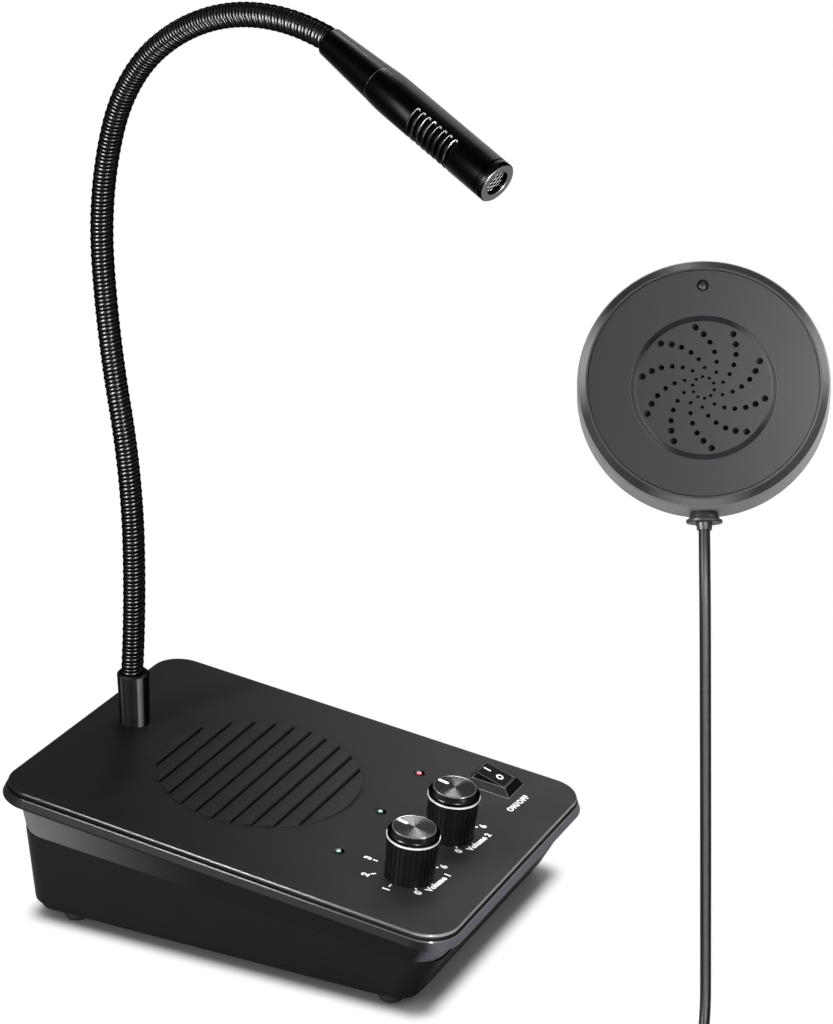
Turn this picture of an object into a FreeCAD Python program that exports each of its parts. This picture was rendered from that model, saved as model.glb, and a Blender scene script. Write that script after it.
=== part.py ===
"""Teller window intercom: sloping counter unit, gooseneck microphone and outer disc unit.

Millimetres. +X is the user's right, -Y the user's front, +Z up. The origin is on the counter,
under the middle of the control panel.
"""
import FreeCAD, Part
import math
import os

Vector = FreeCAD.Vector
Placement = FreeCAD.Placement
Rotation = FreeCAD.Rotation
UP = Vector(0, 0, 1)
ACROSS = Vector(1, 0, 0)
HERE = Vector(0, 0, 0)

# Counter unit: control panel and its rim
PANEL_SLOPE = 6.26
PANEL_HEIGHT = 42.0
PANEL_HALF_WIDTH = 58.4
PANEL_HALF_LENGTH = 85.0
PANEL_CORNER = 11.0
PANEL_THICKNESS = 2.5
RIM_FLARE = 2.4
RIM_DEPTH = 5.9
RIM_GROOVE_TOP = 1.1
RIM_GROOVE_BOTTOM = 2.3
WALL = 2.2

# Band under the rim, down to the seam between the cover and the case
BAND_HALF_WIDTH = 58.7
BAND_FRONT = -84.3
BAND_BACK = 80.1
BAND_DRAFT = 10.0
BAND_FRONT_DRAFT = 22.7
BAND_FOOT = 18.5
SEAM_HEIGHT = 27.2
SEAM_SLOPE = 4.74

# Lower case
CASE_FOOT = 5.5
CASE_UNDERSIDE = 3.4
CASE_HALF_WIDTH = 55.6
CASE_FRONT = -72.0
CASE_BACK = 77.2
CASE_CORNER = 9.0
CASE_DRAFT = 3.0
CASE_FRONT_DRAFT = 29.0
CASE_TOP = 45.0
FLOOR_TOP = 5.9
UNDERSIDE_INSET = 2.0

FOOT_PLACES = [(-48.5, -61.0), (48.5, -61.0), (-48.5, 61.0), (48.5, 61.0)]
FOOT_RADIUS = 4.5
FOOT_FLAT_RADIUS = 3.0
CASE_SCREW_PLACES = [(-46.0, -40.0), (46.0, -40.0), (-46.0, 40.0), (46.0, 40.0)]
CASE_SCREW_RADIUS = 1.45
SCREW_HEAD_RADIUS = 2.8

# Speaker grille, moulded in the panel
GRILLE_CENTRE_Y = 14.7
GRILLE_RADIUS = 36.0
SLOT_COUNT = 10
SLOT_PITCH = 6.68
SLOT_WIDTH = 0.9
FIRST_SLOT_Y = 46.8
SLAT_RISE = 1.0

# Speaker under the grille, heights from the panel's top surface
CLOTH_TOP = -2.5
CLOTH_BOTTOM = -3.1
FLANGE_TOP = -5.5
FLANGE_BOTTOM = -7.0
BASKET_BOTTOM = -20.0
MAGNET_BOTTOM = -28.0
FLANGE_RADIUS = 41.0
SPEAKER_SCREW_RADIUS = 38.6

# Circuit board under the controls
BOARD_TOP = -12.8
BOARD_THICKNESS = 1.6
BOARD_POSTS = [(-37.0, -44.5), (-13.5, -36.5), (-13.5, -69.0), (22.0, -44.5)]
LED_PLACES = {"red": [(33.4, -31.4)], "green": [(1.9, -31.9), (-29.3, -31.9)]}
LED_HOLE_RADIUS = 1.9
LED_RADIUS = 1.5

# Volume knobs
KNOB_PLACES = {"left": (-29.2, -58.3), "right": (2.2, -58.2)}
KNOB_FOOT_RADIUS = 8.35
KNOB_TOP_RADIUS = 8.8
KNOB_GAP = 0.4
KNOB_BODY_TOP = 15.3
KNOB_RING_TOP = 15.9
KNOB_RING_RADIUS = 9.0
KNOB_CAP_TOP = 18.9
KNOB_FACE_RADIUS = 7.25
KNOB_RIB_COUNT = 30
KNOB_RIB_DEPTH = 0.35
SHAFT_RADIUS = 3.0
SHAFT_CLEARANCE = 0.06
BUSHING_RADIUS = 3.5

# Rocker switch
SWITCH_CENTRE = (42.3, -56.1)
SWITCH_BASE = (12.7, 18.2)
SWITCH_RISE = 2.7
SWITCH_OPENING = (8.9, 12.6)
SWITCH_BODY_DEPTH = 13.0
PADDLE_WIDTH = 8.3
PADDLE_RADIUS = 6.0
PADDLE_TOP = 2.2
PADDLE_PIVOT = 1.66
PADDLE_TILT = 12.0
PADDLE_PIN_RADIUS = 0.6

# Rear sockets
SOCKET_HEIGHT = 19.0
POWER_SOCKET_X = 24.0
UNIT_SOCKET_X = -24.0
SOCKET_BOARD_TOP = 13.0
SOCKET_POSTS = [-32.0, 0.0, 32.0]
SOCKET_POST_Y = 66.0

# Gooseneck: it bends in one upright plane through the ferrule's axis
FERRULE_X = 6.6
FERRULE_Y = 68.9
FERRULE_TOP = 68.8
FERRULE_FOOT_RADIUS = 5.3
FERRULE_TOP_RADIUS = 5.7
NECK_PLANE = 16.8
NECK_RADIUS = 4.0
NECK_START = -0.4
NECK_ARCS = [50.0, 50.0, 50.0, 50.0, 40.0, 30.0, 48.6]
NECK_HEADINGS = [6.9, 1.0, -10.8, -2.3, 20.7, 54.0, 72.7, 104.0]
ARCS_PER_SECTION = [1, 1, 1, 1, 3]
JOINT_BALL_RADIUS = 3.7
JOINT_SOCKET_RADIUS = 4.0
JOINT_RIM = 2.1

# Microphone, lengths from its rear end
MIC_HEADING = 114.6
MIC_LENGTH = 75.0
MIC_SEAM = 22.6
MIC_REAR_RADIUS = 4.7
MIC_SEAM_RADIUS = 6.1
MIC_RADIUS = 6.6
MIC_BORE_RADIUS = 5.4
MIC_GROOVE = 71.9
MIC_BARREL_END = 73.4
MIC_OPENING_RADIUS = 3.65
MIC_SLOT_COUNT = 8
MIC_SLOT_PITCH = 2.33
MIC_FIRST_SLOT = 42.1
MIC_SLOT_WIDTH = 1.1
MIC_SLOT_TURN = -56.0
MIC_MESH_THICKNESS = 0.5

# Outer unit: a disc whose face looks back over the counter unit
DISC_CENTRE = Vector(-19.2, -151.2, 221.0)
DISC_AZIMUTH = 200.2
DISC_TILT = 30.8
DISC_ROLL = 2.6
DISC_DEPTH = 17.0
DISC_FACE_RADIUS = 35.15
DISC_RADIUS = 37.85
DISC_BACK_RADIUS = 38.35
DISC_PLATE_RADIUS = 36.2
DISC_WALL = 2.0
PAD_THICKNESS = 0.8
DISC_GROOVE_RADIUS = 21.8
DISC_GROOVE_WIDTH = 1.5
DISC_MIC_HEIGHT = 29.7
DISC_FEATURE_DROP = 1.5
# Rings of holes: radius, turn from the top, hole radius
SOUND_HOLE_RINGS = [(18.5, -43.1, 1.0), (16.2, -35.4, 0.95), (13.9, -27.7, 0.83),
                    (11.3, -18.8, 0.75), (8.7, -9.1, 0.65), (6.0, 3.7, 0.55), (3.3, 31.3, 0.5)]
SOUND_HOLE_ARMS = 10
GLAND_DEPTH = 8.5
GLAND_TIP = 43.3

# Cord of the outer unit: down to the counter, a wound coil, and a short tail to its plug
CORD_RADIUS = 1.75
CORD_ROUTE = [(-37.1, -160.4, 170.9), (-40.0, -162.2, 157.4), (-40.5, -163.5, 131.0),
              (-39.8, -165.3, 81.0), (-39.2, -166.7, 39.0), (-43.0, -169.0, 17.0),
              (-57.0, -171.5, 4.2), (-75.8, -177.5, 1.75), (-94.0, -188.0, 1.75)]
COIL_CENTRE = (-104.5, -169.8)
COIL_OUTER_RADIUS = 22.75
COIL_INNER_RADIUS = 15.0
COIL_HEIGHT = 17.5
TAIL_ROUTE = [(-122.7, -159.3, 15.75), (-117.7, -150.6, 14.6), (-114.2, -140.6, 9.6),
              (-112.8, -129.8, 5.2), (-112.5, -119.0, 4.0)]
PLUG_HEADING = 90.0
RELIEF_LENGTH = 12.0
PLUG_LENGTH = 22.0
PLUG_RADIUS = 4.0
PLUG_PIN_RADIUS = 1.75
PLUG_PIN_LENGTH = 14.0
BEND_SHARE = 0.45


# Frames

PANEL_FRAME = Placement(Vector(0, 0, PANEL_HEIGHT), Rotation(ACROSS, PANEL_SLOPE))
SEAM_FRAME = Placement(Vector(0, 0, SEAM_HEIGHT), Rotation(ACROSS, SEAM_SLOPE))
NECK_FORWARD = Vector(-math.sin(math.radians(NECK_PLANE)), -math.cos(math.radians(NECK_PLANE)), 0)


def disc_frame():
    """Frame of the outer unit: z out of its face, y up the face."""
    turn, tilt = math.radians(DISC_AZIMUTH), math.radians(DISC_TILT)
    out = Vector(math.cos(tilt) * math.cos(turn), math.cos(tilt) * math.sin(turn), math.sin(tilt))
    rise = UP - out * out.z
    rise.normalize()
    upright = Placement(DISC_CENTRE, Rotation(rise.cross(out), rise, out, "ZYX"))
    return upright.multiply(Placement(HERE, Rotation(UP, DISC_ROLL)))


DISC_FRAME = disc_frame()


def placed(shape, frame):
    """The shape, drawn about the origin, moved into a frame."""
    moved = shape.copy()
    moved.Placement = frame.multiply(moved.Placement)
    return moved


def to_origin(frame, shape):
    """The shape, given in the object's frame, as seen from a local frame."""
    return placed(shape, frame.inverse())


# Plain solids

def box(x_low, x_high, y_low, y_high, z_low, z_high):
    return Part.makeBox(x_high - x_low, y_high - y_low, z_high - z_low, Vector(x_low, y_low, z_low))


def disc(radius, z_low, z_high, x=0.0, y=0.0):
    return Part.makeCylinder(radius, z_high - z_low, Vector(x, y, z_low))


def ring(outer, inner, z_low, z_high, x=0.0, y=0.0):
    return disc(outer, z_low, z_high, x, y).cut(disc(inner, z_low - 1, z_high + 1, x, y))


def cone(radius_low, radius_high, z_low, z_high):
    return Part.makeCone(radius_low, radius_high, z_high - z_low, Vector(0, 0, z_low))


def turned(profile):
    """Solid of revolution about z from a closed list of (radius, height)."""
    points = [Vector(radius, 0, height) for radius, height in profile]
    face = Part.Face(Part.makePolygon(points + [points[0]]))
    return face.revolve(HERE, UP, 360)


def hexagon(across_flats, z_low, z_high, x=0.0, y=0.0):
    radius = across_flats / math.sqrt(3)
    corners = []
    for step in range(7):
        turn = math.radians(60 * step)
        corners.append(Vector(x + radius * math.cos(turn), y + radius * math.sin(turn), z_low))
    return Part.Face(Part.makePolygon(corners)).extrude(Vector(0, 0, z_high - z_low))


def rectangle(half_width, half_length, height):
    """Square-cornered outline in a level plane."""
    corners = []
    for x, y in ((-1, -1), (1, -1), (1, 1), (-1, 1), (-1, -1)):
        corners.append(Vector(x * half_width, y * half_length, height))
    return Part.makePolygon(corners)


def outline(half_width, front, back, radius, height):
    """Rounded rectangle in a level plane."""
    centres = [(half_width - radius, back - radius), (radius - half_width, back - radius),
               (radius - half_width, front + radius), (half_width - radius, front + radius)]
    arcs = []
    for quarter, (x, y) in enumerate(centres):
        start = 90 * quarter
        arcs.append(Part.makeCircle(radius, Vector(x, y, height), UP, start, start + 90))
    edges = []
    for index, arc in enumerate(arcs):
        following = arcs[(index + 1) % len(arcs)]
        edges.append(arc)
        edges.append(Part.makeLine(arc.lastVertex(True).Point, following.firstVertex(True).Point))
    return Part.Wire(edges)


def between(lower, upper):
    """Solid with straight sides between two outlines."""
    return Part.makeLoft([lower, upper], True, True)


def joined(solids):
    first = solids[0]
    if len(solids) == 1:
        return first
    return first.multiFuse(solids[1:]).removeSplitter()


def group(solids):
    return Part.makeCompound(solids)


def polar(radius, degrees):
    turn = math.radians(degrees)
    return radius * math.cos(turn), radius * math.sin(turn)


FAR = 400.0


def above(frame, height=0.0):
    """Everything above a level of a frame."""
    return placed(box(-FAR, FAR, -FAR, FAR, height, FAR), frame)


def below(frame, height=0.0):
    return placed(box(-FAR, FAR, -FAR, FAR, -FAR, height), frame)


# Counter unit: cover and case

def rim_outline(offset, depth):
    return outline(PANEL_HALF_WIDTH + offset, -PANEL_HALF_LENGTH - offset, PANEL_HALF_LENGTH + offset,
                   PANEL_CORNER + offset, -depth)


def band_outline(depth, inset):
    drop = depth - RIM_DEPTH
    flare = drop * math.tan(math.radians(BAND_DRAFT)) + inset
    front = drop * math.tan(math.radians(BAND_FRONT_DRAFT)) + inset
    return outline(BAND_HALF_WIDTH - flare, BAND_FRONT + front, BAND_BACK - flare,
                   PANEL_CORNER - inset, -depth)


def case_outline(height, inset):
    rise = height - CASE_FOOT
    flare = rise * math.tan(math.radians(CASE_DRAFT)) - inset
    front = rise * math.tan(math.radians(CASE_FRONT_DRAFT)) - inset
    return outline(CASE_HALF_WIDTH + flare, CASE_FRONT - front, CASE_BACK + flare,
                   CASE_CORNER - inset, height)


def slot_y(index):
    return FIRST_SLOT_Y - SLOT_PITCH * index


def slats():
    """Wedges between the grille slots, flush at the rear and raised at the front edge."""
    half_slot = SLOT_WIDTH / 2
    backs = [GRILLE_CENTRE_Y + GRILLE_RADIUS] + [slot_y(i) - half_slot for i in range(SLOT_COUNT)]
    fronts = [slot_y(i) + half_slot for i in range(SLOT_COUNT)] + [GRILLE_CENTRE_Y - GRILLE_RADIUS]
    wedges = []
    for back, front in zip(backs, fronts):
        corners = [Vector(-GRILLE_RADIUS, back, -0.5), Vector(-GRILLE_RADIUS, back, 0.02),
                   Vector(-GRILLE_RADIUS, front, SLAT_RISE), Vector(-GRILLE_RADIUS, front, -0.5)]
        side = Part.Face(Part.makePolygon(corners + [corners[0]]))
        wedges.append(side.extrude(Vector(2 * GRILLE_RADIUS, 0, 0)))
    drum = disc(GRILLE_RADIUS, -1, SLAT_RISE + 1, 0, GRILLE_CENTRE_Y)
    return [wedge.common(drum) for wedge in wedges]


def slots():
    cuts = []
    for index in range(SLOT_COUNT):
        y = slot_y(index)
        reach = math.sqrt(GRILLE_RADIUS ** 2 - (y - GRILLE_CENTRE_Y) ** 2)
        cuts.append(box(-reach, reach, y - SLOT_WIDTH / 2, y + SLOT_WIDTH / 2, -PANEL_THICKNESS - 1, 2))
    return cuts


def speaker_screw_places():
    places = []
    for quarter in range(4):
        x, y = polar(SPEAKER_SCREW_RADIUS, 45 + 90 * quarter)
        places.append((x, y + GRILLE_CENTRE_Y))
    return places


def cover_bosses():
    """Posts under the panel for the case screws, in the object's frame."""
    posts = []
    for x, y in CASE_SCREW_PLACES:
        posts.append(disc(3.5, 12.0, 60, x, y))
    posts.append(disc(9.0, 44.0, 60, FERRULE_X, FERRULE_Y))
    return [post.cut(above(PANEL_FRAME, -1.0)) for post in posts]


def top_cover():
    cap = between(rim_outline(0.4, RIM_GROOVE_TOP), rim_outline(0.4, 0))
    top_edges = [edge for edge in cap.Edges if edge.BoundBox.ZMin > -0.01]
    cap = cap.makeFillet(1.0, top_edges)
    waist = between(rim_outline(-0.4, RIM_GROOVE_BOTTOM), rim_outline(-0.4, RIM_GROOVE_TOP))
    flare = between(rim_outline(RIM_FLARE, RIM_DEPTH), rim_outline(0.9, RIM_GROOVE_BOTTOM))
    low_edges = [edge for edge in flare.Edges if edge.BoundBox.ZMax < 0.01 - RIM_DEPTH]
    flare = flare.makeFillet(0.7, low_edges)
    band = between(band_outline(BAND_FOOT, 0), band_outline(RIM_DEPTH, 0))
    shell = joined([cap, waist, flare, band])
    inside = band_outline(RIM_DEPTH, WALL)
    hollow_high = between(inside, inside.translated(Vector(0, 0, RIM_DEPTH - PANEL_THICKNESS)))
    hollow_low = between(band_outline(BAND_FOOT, WALL), inside)
    shell = shell.cut(hollow_high).cut(hollow_low)
    shell = shell.cut(to_origin(PANEL_FRAME, below(SEAM_FRAME)))
    speaker_bosses = [disc(2.6, FLANGE_TOP, -2, x, y) for x, y in speaker_screw_places()]
    board_posts = [disc(2.5, BOARD_TOP, -2, x, y) for x, y in BOARD_POSTS]
    bosses = [to_origin(PANEL_FRAME, post) for post in cover_bosses()]
    shell = joined([shell] + slats() + speaker_bosses + board_posts + bosses)
    cuts = slots()
    for x, y in speaker_screw_places():
        cuts.append(disc(1.1, FLANGE_TOP - 1, -3.2, x, y))
    for x, y in BOARD_POSTS:
        cuts.append(disc(1.1, BOARD_TOP - 1, -6, x, y))
    for x, y in LED_PLACES["red"] + LED_PLACES["green"]:
        cuts.append(disc(LED_HOLE_RADIUS, -5, 2, x, y))
    for x, y in KNOB_PLACES.values():
        cuts.append(disc(BUSHING_RADIUS + 0.2, -5, 2, x, y))
    x, y = SWITCH_CENTRE
    cuts.append(box(x - 5.8, x + 5.8, y - 8.3, y + 8.3, -5, 2))
    shell = shell.cut(group(cuts))
    cover = placed(shell, PANEL_FRAME)
    drills = [disc(CASE_SCREW_RADIUS, 11, 24.2, x, y) for x, y in CASE_SCREW_PLACES]
    drills.append(disc(4.9, 40, 60, FERRULE_X, FERRULE_Y))
    return cover.cut(group(drills))


def bottom_case():
    walls = between(case_outline(CASE_FOOT, 0), case_outline(CASE_TOP, 0))
    low_edges = [edge for edge in walls.Edges if edge.BoundBox.ZMax < CASE_FOOT + 0.01]
    walls = walls.makeFillet(1.2, low_edges)
    underside = outline(CASE_HALF_WIDTH - UNDERSIDE_INSET, CASE_FRONT + UNDERSIDE_INSET,
                        CASE_BACK - UNDERSIDE_INSET, CASE_CORNER - UNDERSIDE_INSET, CASE_UNDERSIDE)
    plate = Part.Face(underside).extrude(Vector(0, 0, FLOOR_TOP - CASE_UNDERSIDE))
    shell = walls.fuse(plate)
    shell = shell.cut(between(case_outline(FLOOR_TOP, WALL), case_outline(CASE_TOP + 1, WALL)))
    shell = shell.cut(above(SEAM_FRAME))
    bosses = [disc(4.5, FLOOR_TOP - 1, 12, x, y) for x, y in CASE_SCREW_PLACES]
    post_top = SOCKET_BOARD_TOP - BOARD_THICKNESS
    bosses += [disc(2.5, FLOOR_TOP - 1, post_top, x, SOCKET_POST_Y) for x in SOCKET_POSTS]
    shell = joined([shell] + bosses)
    cuts = []
    for x, y in CASE_SCREW_PLACES:
        cuts.append(disc(1.6, 3, 13, x, y))
        cuts.append(disc(3.1, 3, 7.4, x, y))
    for x in SOCKET_POSTS:
        cuts.append(disc(1.1, FLOOR_TOP + 0.5, post_top + 1, x, SOCKET_POST_Y))
    for x in (POWER_SOCKET_X, UNIT_SOCKET_X):
        cuts.append(Part.makeCylinder(4.0, 20, Vector(x, 68, SOCKET_HEIGHT), Vector(0, 1, 0)))
    return shell.cut(group(cuts))


def rubber_feet():
    feet = []
    for x, y in FOOT_PLACES:
        profile = [(0, 0), (FOOT_FLAT_RADIUS, 0), (3.9, 0.45), (4.35, 1.2), (FOOT_RADIUS, 2.2),
                   (FOOT_RADIUS, CASE_UNDERSIDE), (0, CASE_UNDERSIDE)]
        feet.append(turned(profile).translated(Vector(x, y, 0)))
    return group(feet)


def case_screws():
    screws = []
    for x, y in CASE_SCREW_PLACES:
        drive = box(x - 2.0, x + 2.0, y - 0.4, y + 0.4, 5.0, 6.4)
        head = disc(SCREW_HEAD_RADIUS, 5.4, 7.4, x, y).cut(drive)
        screws.append(head.fuse(disc(CASE_SCREW_RADIUS, 7.4, 24.0, x, y)))
    return group(screws)


# Speaker and grille cloth, in the panel's frame

def at_grille(shape):
    return placed(shape.translated(Vector(0, GRILLE_CENTRE_Y, 0)), PANEL_FRAME)


def grille_cloth():
    return at_grille(disc(35.5, CLOTH_BOTTOM, CLOTH_TOP))


def speaker_gasket():
    return at_grille(ring(34.5, 31.0, FLANGE_TOP, CLOTH_BOTTOM))


def speaker_frame():
    flange = ring(FLANGE_RADIUS, 30.0, FLANGE_BOTTOM, FLANGE_TOP)
    basket = turned([(30.0, FLANGE_BOTTOM), (31.5, FLANGE_BOTTOM), (18.0, BASKET_BOTTOM),
                     (8.0, BASKET_BOTTOM), (8.0, BASKET_BOTTOM + 1.2), (17.2, BASKET_BOTTOM + 1.2)])
    windows = []
    for quarter in range(4):
        window = box(12, 34, -7, 7, BASKET_BOTTOM + 3, FLANGE_BOTTOM - 2.5)
        windows.append(window.rotated(HERE, UP, 90 * quarter))
    frame = flange.fuse(basket).cut(group(windows))
    holes = []
    for x, y in speaker_screw_places():
        holes.append(disc(1.2, FLANGE_BOTTOM - 1, FLANGE_TOP + 1, x, y - GRILLE_CENTRE_Y))
    return at_grille(frame.cut(group(holes)))


def speaker_cone():
    return at_grille(turned([(0, -10.6), (5.0, -11.4), (8.5, -13.4), (26.5, -6.9), (28.2, -6.1),
                             (30.0, -6.4), (30.0, -5.9), (28.2, -5.6), (26.2, -6.3), (8.9, -12.7),
                             (5.0, -10.8), (0, -10.0)]))


def speaker_magnet():
    back = disc(19.0, MAGNET_BOTTOM, MAGNET_BOTTOM + 1.5)
    body = disc(20.0, MAGNET_BOTTOM + 1.5, BASKET_BOTTOM)
    return at_grille(back.fuse(body))


def speaker_screws():
    screws = []
    for x, y in speaker_screw_places():
        head = disc(2.2, FLANGE_BOTTOM - 1.5, FLANGE_BOTTOM, x, y)
        screws.append(head.fuse(disc(1.1, FLANGE_BOTTOM, -3.4, x, y)))
    return placed(group(screws), PANEL_FRAME)


# Circuit board and what is on it, in the panel's frame

def circuit_board():
    low = BOARD_TOP - BOARD_THICKNESS
    board = box(-41, 28, -73, -27, low, BOARD_TOP).fuse(box(28, 40, -37, -27, low, BOARD_TOP))
    board = board.removeSplitter()
    holes = [disc(1.2, low - 1, BOARD_TOP + 1, x, y) for x, y in BOARD_POSTS]
    return placed(board.cut(group(holes)), PANEL_FRAME)


def board_screws():
    """Screws of both boards: up into the cover's posts, and down into the case's posts."""
    low = BOARD_TOP - BOARD_THICKNESS
    screws = []
    for x, y in BOARD_POSTS:
        screw = disc(2.2, low - 1.4, low, x, y).fuse(disc(1.1, low, low + 7.9, x, y))
        screws.append(placed(screw, PANEL_FRAME))
    for x in SOCKET_POSTS:
        head = disc(2.2, SOCKET_BOARD_TOP, SOCKET_BOARD_TOP + 1.4, x, SOCKET_POST_Y)
        screws.append(head.fuse(disc(1.1, SOCKET_BOARD_TOP - 6.5, SOCKET_BOARD_TOP, x, SOCKET_POST_Y)))
    return group(screws)


def amplifier_chip():
    low = BOARD_TOP - BOARD_THICKNESS
    return placed(box(-2, 16, -50, -42, low - 3.2, low), PANEL_FRAME)


def capacitors():
    low = BOARD_TOP - BOARD_THICKNESS
    cans = [disc(3.2, low - 8.0, low, x, -50) for x in (-30, -22, -14)]
    return placed(group(cans), PANEL_FRAME)


def led(x, y):
    body = disc(LED_HOLE_RADIUS, BOARD_TOP, -5.0, x, y).fuse(disc(LED_RADIUS, -5.0, -1.2, x, y))
    dome = Part.makeSphere(LED_RADIUS, Vector(x, y, -1.2))
    return body.fuse(dome).removeSplitter()


def leds(colour):
    return placed(group([led(x, y) for x, y in LED_PLACES[colour]]), PANEL_FRAME)


# Volume controls, in the panel's frame

def control_body(side):
    x, y = KNOB_PLACES[side]
    body = box(x - 4.75, x + 4.75, y - 5, y + 5, BOARD_TOP, -4.6)
    bushing = disc(BUSHING_RADIUS, -4.6, 2.2, x, y)
    return placed(body.fuse(bushing).cut(disc(SHAFT_RADIUS, -8.2, 3, x, y)), PANEL_FRAME)


def control_nuts():
    nuts = []
    for x, y in KNOB_PLACES.values():
        nuts.append(hexagon(10.0, 0, 1.4, x, y).cut(disc(BUSHING_RADIUS, -1, 3, x, y)))
    return placed(group(nuts), PANEL_FRAME)


def shaft(side):
    x, y = KNOB_PLACES[side]
    return placed(disc(SHAFT_RADIUS - SHAFT_CLEARANCE, -8.0, 13.0, x, y), PANEL_FRAME)


def knob_body(side):
    x, y = KNOB_PLACES[side]
    body = cone(KNOB_FOOT_RADIUS, KNOB_TOP_RADIUS, KNOB_GAP, KNOB_BODY_TOP)
    lean = math.degrees(math.atan2(KNOB_TOP_RADIUS - KNOB_FOOT_RADIUS, KNOB_BODY_TOP - KNOB_GAP))
    grooves = []
    for index in range(KNOB_RIB_COUNT):
        groove = box(KNOB_FOOT_RADIUS - KNOB_RIB_DEPTH, KNOB_FOOT_RADIUS + 1, -0.4, 0.4, 0, KNOB_BODY_TOP + 1)
        groove = groove.rotated(Vector(KNOB_FOOT_RADIUS, 0, KNOB_GAP), Vector(0, 1, 0), lean)
        grooves.append(groove.rotated(HERE, UP, 360.0 * index / KNOB_RIB_COUNT))
    body = body.cut(group(grooves))
    body = body.cut(disc(6.4, 0, 3.4)).cut(disc(SHAFT_RADIUS - SHAFT_CLEARANCE, 3, 13.0))
    return placed(body.translated(Vector(x, y, 0)), PANEL_FRAME)


def knob_ring(side):
    x, y = KNOB_PLACES[side]
    return placed(disc(KNOB_RING_RADIUS, KNOB_BODY_TOP, KNOB_RING_TOP, x, y), PANEL_FRAME)


def knob_cap(side):
    x, y = KNOB_PLACES[side]
    bevel_foot = KNOB_CAP_TOP - 1.7
    cap = turned([(0, KNOB_RING_TOP), (KNOB_TOP_RADIUS, KNOB_RING_TOP), (KNOB_TOP_RADIUS, bevel_foot),
                  (KNOB_FACE_RADIUS, KNOB_CAP_TOP), (0, KNOB_CAP_TOP)])
    return placed(cap.translated(Vector(x, y, 0)), PANEL_FRAME)


# Rocker switch, in the panel's frame

def switch_body():
    x, y = SWITCH_CENTRE
    half_x, half_y = SWITCH_BASE[0] / 2, SWITCH_BASE[1] / 2
    open_x, open_y = SWITCH_OPENING[0] / 2, SWITCH_OPENING[1] / 2
    frame = between(rectangle(half_x, half_y, 0), rectangle(open_x + 0.3, open_y + 0.3, SWITCH_RISE))
    body = frame.fuse(box(-5.6, 5.6, -8.1, 8.1, -SWITCH_BODY_DEPTH, 0))
    body = body.cut(box(-open_x, open_x, -open_y, open_y, -6, SWITCH_RISE + 1))
    bore_radius = PADDLE_PIN_RADIUS + SHAFT_CLEARANCE
    pin_bore = Part.makeCylinder(bore_radius, 9.6, Vector(-4.8, 0, PADDLE_PIVOT), ACROSS)
    return placed(body.cut(pin_bore).translated(Vector(x, y, 0)), PANEL_FRAME)


def switch_terminals():
    x, y = SWITCH_CENTRE
    foot = -SWITCH_BODY_DEPTH
    blades = [box(x - 2.4, x + 2.4, y + step - 0.4, y + step + 0.4, foot - 6, foot) for step in (-5, 0, 5)]
    return placed(group(blades), PANEL_FRAME)


def switch_paddle():
    x, y = SWITCH_CENTRE
    half = PADDLE_WIDTH / 2
    drum = Part.makeCylinder(PADDLE_RADIUS, PADDLE_WIDTH, Vector(-half, 0, 0), ACROSS)
    body = drum.common(box(-half, half, -8, 8, -3.0, PADDLE_TOP))
    pins = Part.makeCylinder(PADDLE_PIN_RADIUS, 9.4, Vector(-4.7, 0, 0), ACROSS)
    paddle = body.fuse(pins).removeSplitter().rotated(HERE, ACROSS, PADDLE_TILT)
    return placed(paddle.translated(Vector(x, y, PADDLE_PIVOT)), PANEL_FRAME)


# Rear sockets

def socket_board():
    low = SOCKET_BOARD_TOP - BOARD_THICKNESS
    board = box(-36, 36, 61, 73.5, low, SOCKET_BOARD_TOP)
    holes = [disc(1.2, low - 1, SOCKET_BOARD_TOP + 1, x, SOCKET_POST_Y) for x in SOCKET_POSTS]
    return board.cut(group(holes))


def socket(x, bore_radius, half_width):
    body = box(x - half_width, x + half_width, 62.0, 74.0, 13.0, 25.0)
    nose = Part.makeCylinder(3.9, 5.0, Vector(x, 73.6, SOCKET_HEIGHT), Vector(0, 1, 0))
    bore = Part.makeCylinder(bore_radius, 14.0, Vector(x, 64.6, SOCKET_HEIGHT), Vector(0, 1, 0))
    return body.fuse(nose).cut(bore)


def power_socket():
    pin = Part.makeCylinder(1.05, 12.0, Vector(POWER_SOCKET_X, 64.6, SOCKET_HEIGHT), Vector(0, 1, 0))
    return socket(POWER_SOCKET_X, 2.9, 4.6).fuse(pin)


def unit_socket():
    return socket(UNIT_SOCKET_X, 1.85, 4.0)


# Gooseneck

def neck_point(along, height):
    return Vector(FERRULE_X, FERRULE_Y, 0) + NECK_FORWARD * along + Vector(0, 0, height)


def neck_direction(heading):
    turn = math.radians(heading)
    return NECK_FORWARD * math.sin(turn) + Vector(0, 0, math.cos(turn))


def neck_track():
    """Each arc of the neck's centre line as its start, middle and end: (along, height, heading)."""
    along, height = NECK_START, FERRULE_TOP
    track = []
    for index, length in enumerate(NECK_ARCS):
        first, last = math.radians(NECK_HEADINGS[index]), math.radians(NECK_HEADINGS[index + 1])
        radius = length / (last - first)
        stations = []
        for turn in (first, (first + last) / 2, last):
            stations.append((along + radius * (math.cos(first) - math.cos(turn)),
                             height + radius * (math.sin(turn) - math.sin(first)),
                             math.degrees(turn)))
        track.append(stations)
        along, height = stations[-1][0], stations[-1][1]
    return track


NECK_TRACK = neck_track()


def section_arcs(number):
    """The arcs of neck section number, counted from 1."""
    first = sum(ARCS_PER_SECTION[:number - 1])
    return NECK_TRACK[first:first + ARCS_PER_SECTION[number - 1]]


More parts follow.
